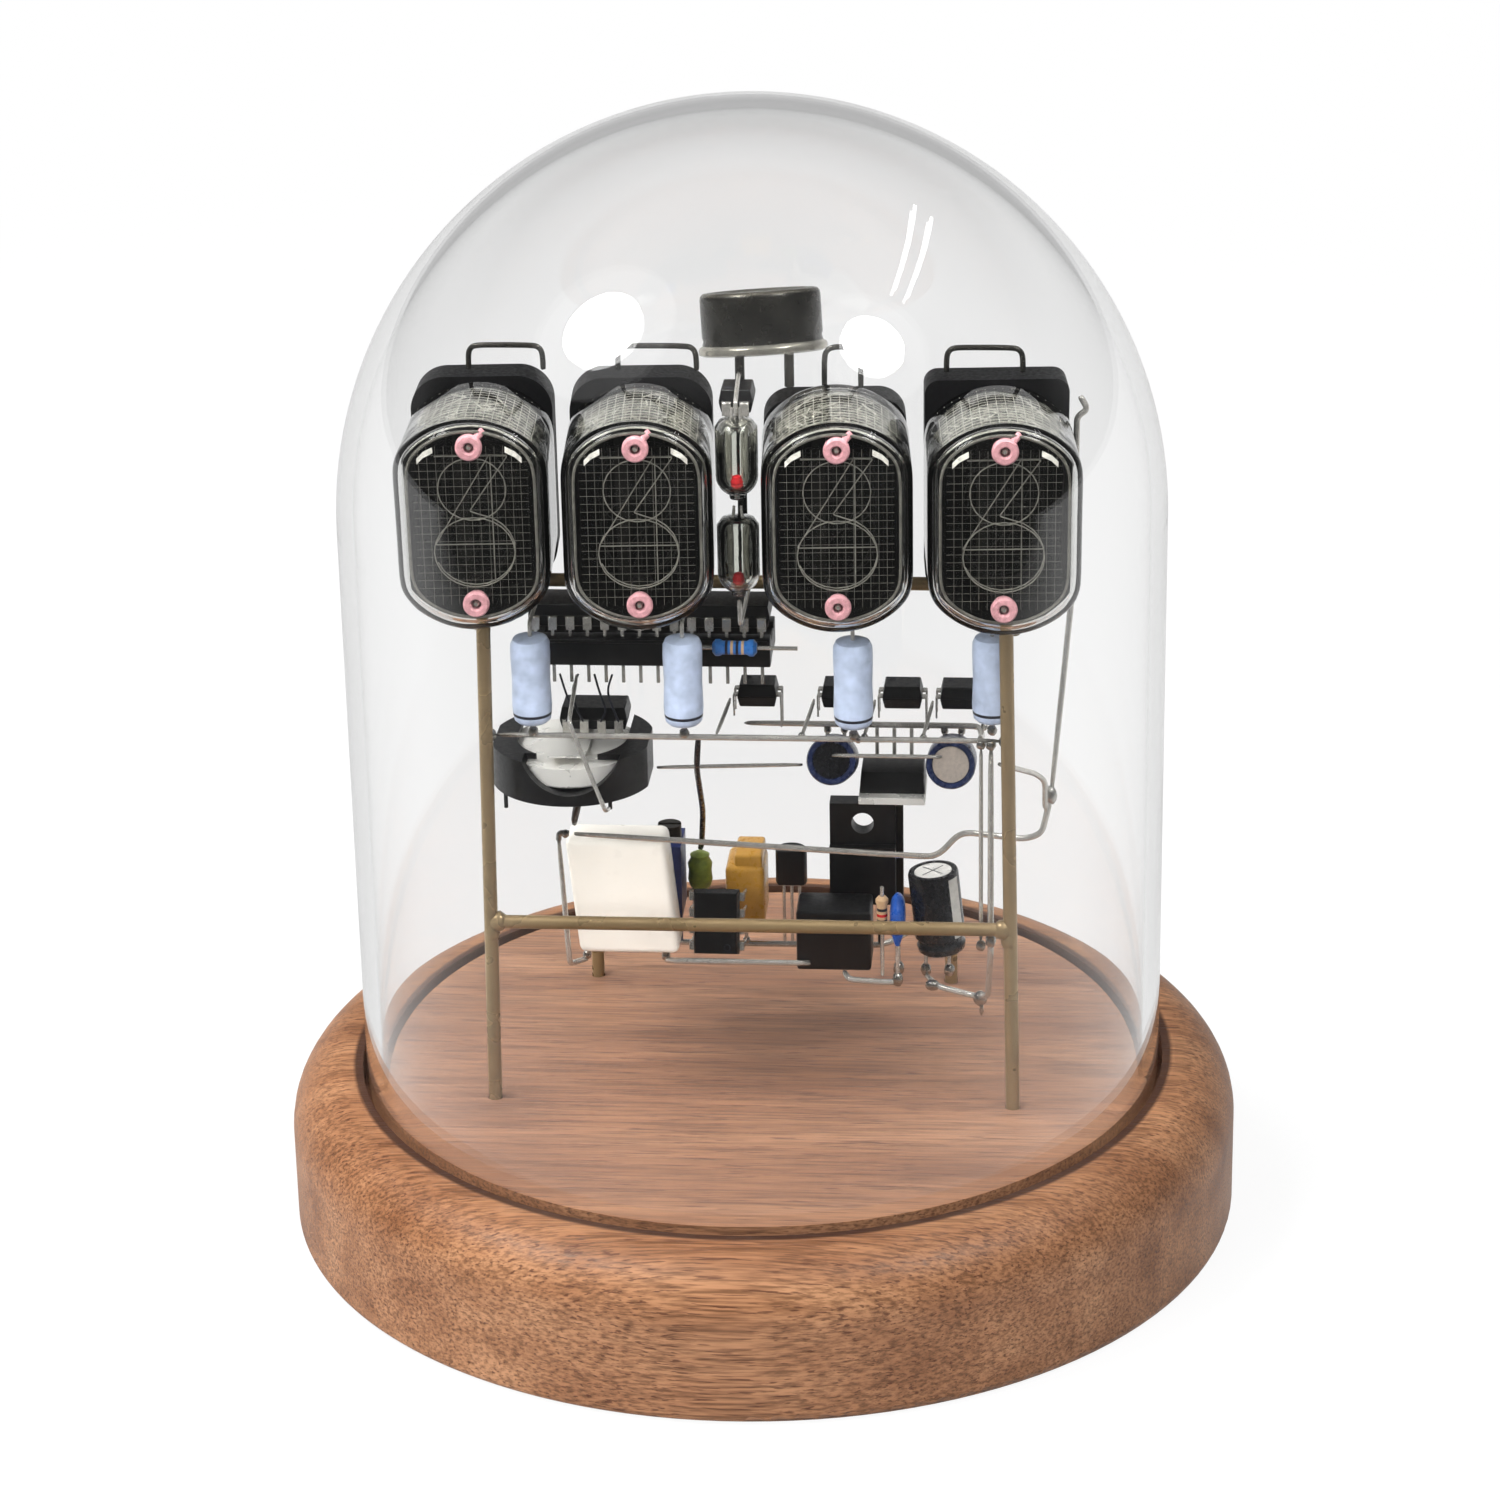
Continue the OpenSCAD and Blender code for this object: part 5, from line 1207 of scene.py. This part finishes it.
def floor():
    """White floor with the object's shadow. Straight through the glass its far part is greyer;
    gloss sees it dark in front."""
    nodes = Nodes("floor")
    shade = nodes.ramp(nodes.noise(3.0), (0.3, linear(236, 236, 236)),
                       (0.7, linear(240, 240, 240)))
    nodes.set(Base_Color=shade, Roughness=0.9, Specular_IOR_Level=0.1)
    rays = nodes.add("ShaderNodeLightPath").outputs
    away = nodes.length(nodes.place)
    straight = nodes.math("LESS_THAN", rays["Glossy Depth"], 0.5)
    layers = (
        (rays["Is Camera Ray"], nodes.range(away, 0.9, 1.0, 0.2, 0.6), 1.0),
        (rays["Is Glossy Ray"], 1.0, nodes.range(nodes.part("Y"), 0.06, 0.85, -0.15, 0.0)),
        (nodes.math("MULTIPLY", rays["Is Transmission Ray"], straight), 1.0,
         nodes.range(away, 1.0, 0.92, 0.15, 0.55)),
    )
    surface = nodes.shader.outputs[0]
    for ray, share, strength in layers:
        glow = nodes.add("ShaderNodeEmission", Color=grey(1), Strength=strength).outputs[0]
        surface = nodes.blend(nodes.math("MULTIPLY", ray, share), surface, glow)
    nodes.put(nodes.output.inputs["Surface"], surface)
    bpy.ops.mesh.primitive_plane_add(size=30.0)
    plane = bpy.context.object
    plane.name = "floor"
    plane.data.materials.append(nodes.material)


def world():
    """White for the camera. Gloss sees dark and bright bands, and a bright low sky behind the
    object, which give metal and glass their edges."""
    made = bpy.data.worlds.new("studio")
    bpy.context.scene.world = made
    made.use_nodes = True
    sky = Tree(made.node_tree)
    sky.tree.nodes.clear()

    def light(strength):
        return sky.add("ShaderNodeBackground", Color=grey(1), Strength=strength).outputs[0]

    rays = sky.add("ShaderNodeLightPath").outputs
    where = sky.add("ShaderNodeTexCoord").outputs["Generated"]
    way = sky.add("ShaderNodeSeparateXYZ", Vector=where).outputs
    bands = sky.ramp(way["Z"], (0.0, 0.05), (0.2, 0.05), (0.42, 0.08), (0.55, 0.05), (0.7, 0.08),
                     (0.85, 0.4), (1.0, 0.12))
    behind = sky.math("MULTIPLY", sky.range(way["Y"], 0.0, 0.5, 0.2, 0.8),
                      sky.range(way["Z"], 1.0, 0.0, 0.3, 0.5))
    gloss = light(sky.math("MAXIMUM", bands, behind))
    straight = sky.math("LESS_THAN", rays["Glossy Depth"], 0.5)
    through = sky.math("MULTIPLY", rays["Is Transmission Ray"], straight)
    either = sky.math("MAXIMUM", rays["Is Glossy Ray"], rays["Is Transmission Ray"])
    seen = sky.blend(either, light(AMBIENT), sky.blend(through, gloss, light(THROUGH_GLASS)))
    final = sky.blend(rays["Is Camera Ray"], seen, light(1.0))
    sky.put(sky.add("ShaderNodeOutputWorld").inputs["Surface"], final)


def camera():
    """The photograph's own viewpoint."""
    ahead = Vector((math.sin(CAMERA_YAW) * math.cos(CAMERA_PITCH),
                    math.cos(CAMERA_YAW) * math.cos(CAMERA_PITCH), -math.sin(CAMERA_PITCH)))
    level = Vector((math.cos(CAMERA_YAW), -math.sin(CAMERA_YAW), 0))
    upward = level.cross(ahead)
    right = level * math.cos(CAMERA_ROLL) + upward * math.sin(CAMERA_ROLL)
    upright = upward * math.cos(CAMERA_ROLL) - level * math.sin(CAMERA_ROLL)
    data = bpy.data.cameras.new("camera")
    data.sensor_width, data.sensor_fit = SENSOR, "HORIZONTAL"
    data.lens = FOCAL_SHARE * SENSOR
    data.clip_start = 0.01
    view = bpy.data.objects.new("camera", data)
    turn = Matrix((right, upright, -ahead)).transposed().to_4x4()
    view.matrix_world = Matrix.Translation(CAMERA_PLACE) @ turn
    bpy.context.scene.collection.objects.link(view)
    bpy.context.scene.camera = view


def lamp(name, place, target, size, power, shape="RECTANGLE", mirrored=True):
    data = bpy.data.lights.new(name, "AREA")
    data.shape, data.energy = shape, power
    data.size, data.size_y = size
    light = bpy.data.objects.new(name, data)
    light.location = place
    light.rotation_euler = (Vector(target) - Vector(place)).to_track_quat("-Z", "Y").to_euler()
    light.visible_glossy = light.visible_transmission = mirrored
    bpy.context.scene.collection.objects.link(light)
    return light


def strip(name, start, end, target, width, power):
    """Long thin lamp from start to end, facing target."""
    centre, along = (start + end) / 2, (end - start).normalized()
    away = centre - target
    away = (away - along * away.dot(along)).normalized()
    light = lamp(name, centre, target, (width, (end - start).length), power)
    turn = Matrix((along.cross(away), along, away)).transposed().to_4x4()
    light.matrix_world = Matrix.Translation(centre) @ turn


def lights():
    """Soft light from above and the left; small lamps for the dome's glare and its streaks."""
    centre = Vector((0, 0, 0.08))
    lamp("top", (-0.55, 0.2, 0.75), centre, (0.45, 0.45), 7.0, mirrored=False)
    lamp("fill", (-0.55, -0.85, 0.5), centre, (0.5, 0.5), 9.6, mirrored=False)
    shoulder = Vector((0, -0.03, 0.15))
    for name, way, size, power in (("left_glare", (-0.57, -0.21, 0.795), 0.25, 5.0),
                                   ("right_glare", (0.55, -0.27, 0.79), 0.2, 3.2)):
        way = Vector(way)
        lamp(name, shoulder + 0.7 * way, shoulder, (size, size), power, "DISK")
        lamp(name + "_glow", shoulder + 0.75 * way, shoulder, (size * 2, size * 2),
             power * 0.07, "DISK")
    glint = Vector((0.0238, -0.0284, 0.1572))
    for name, shift in (("streak_a", 0.0), ("streak_b", 0.05)):
        strip(name, Vector((0.317 + shift, 0.397, 0.642)), Vector((0.399 + shift, 0.008, 0.742)),
              glint, 0.008, 0.12)


# ---------- the clock ----------

camera()
glass_dome()
tubes()
colon_lamps()
metal_can()
chips()
round_capacitors()
box_capacitors()
bead_and_disc()
resistors()
power_parts()
LEADS.finish()
coin_holder()
frame_and_wires()
solder()
floor()
world()
lights()
bpy.context.scene.view_settings.view_transform = "Standard"
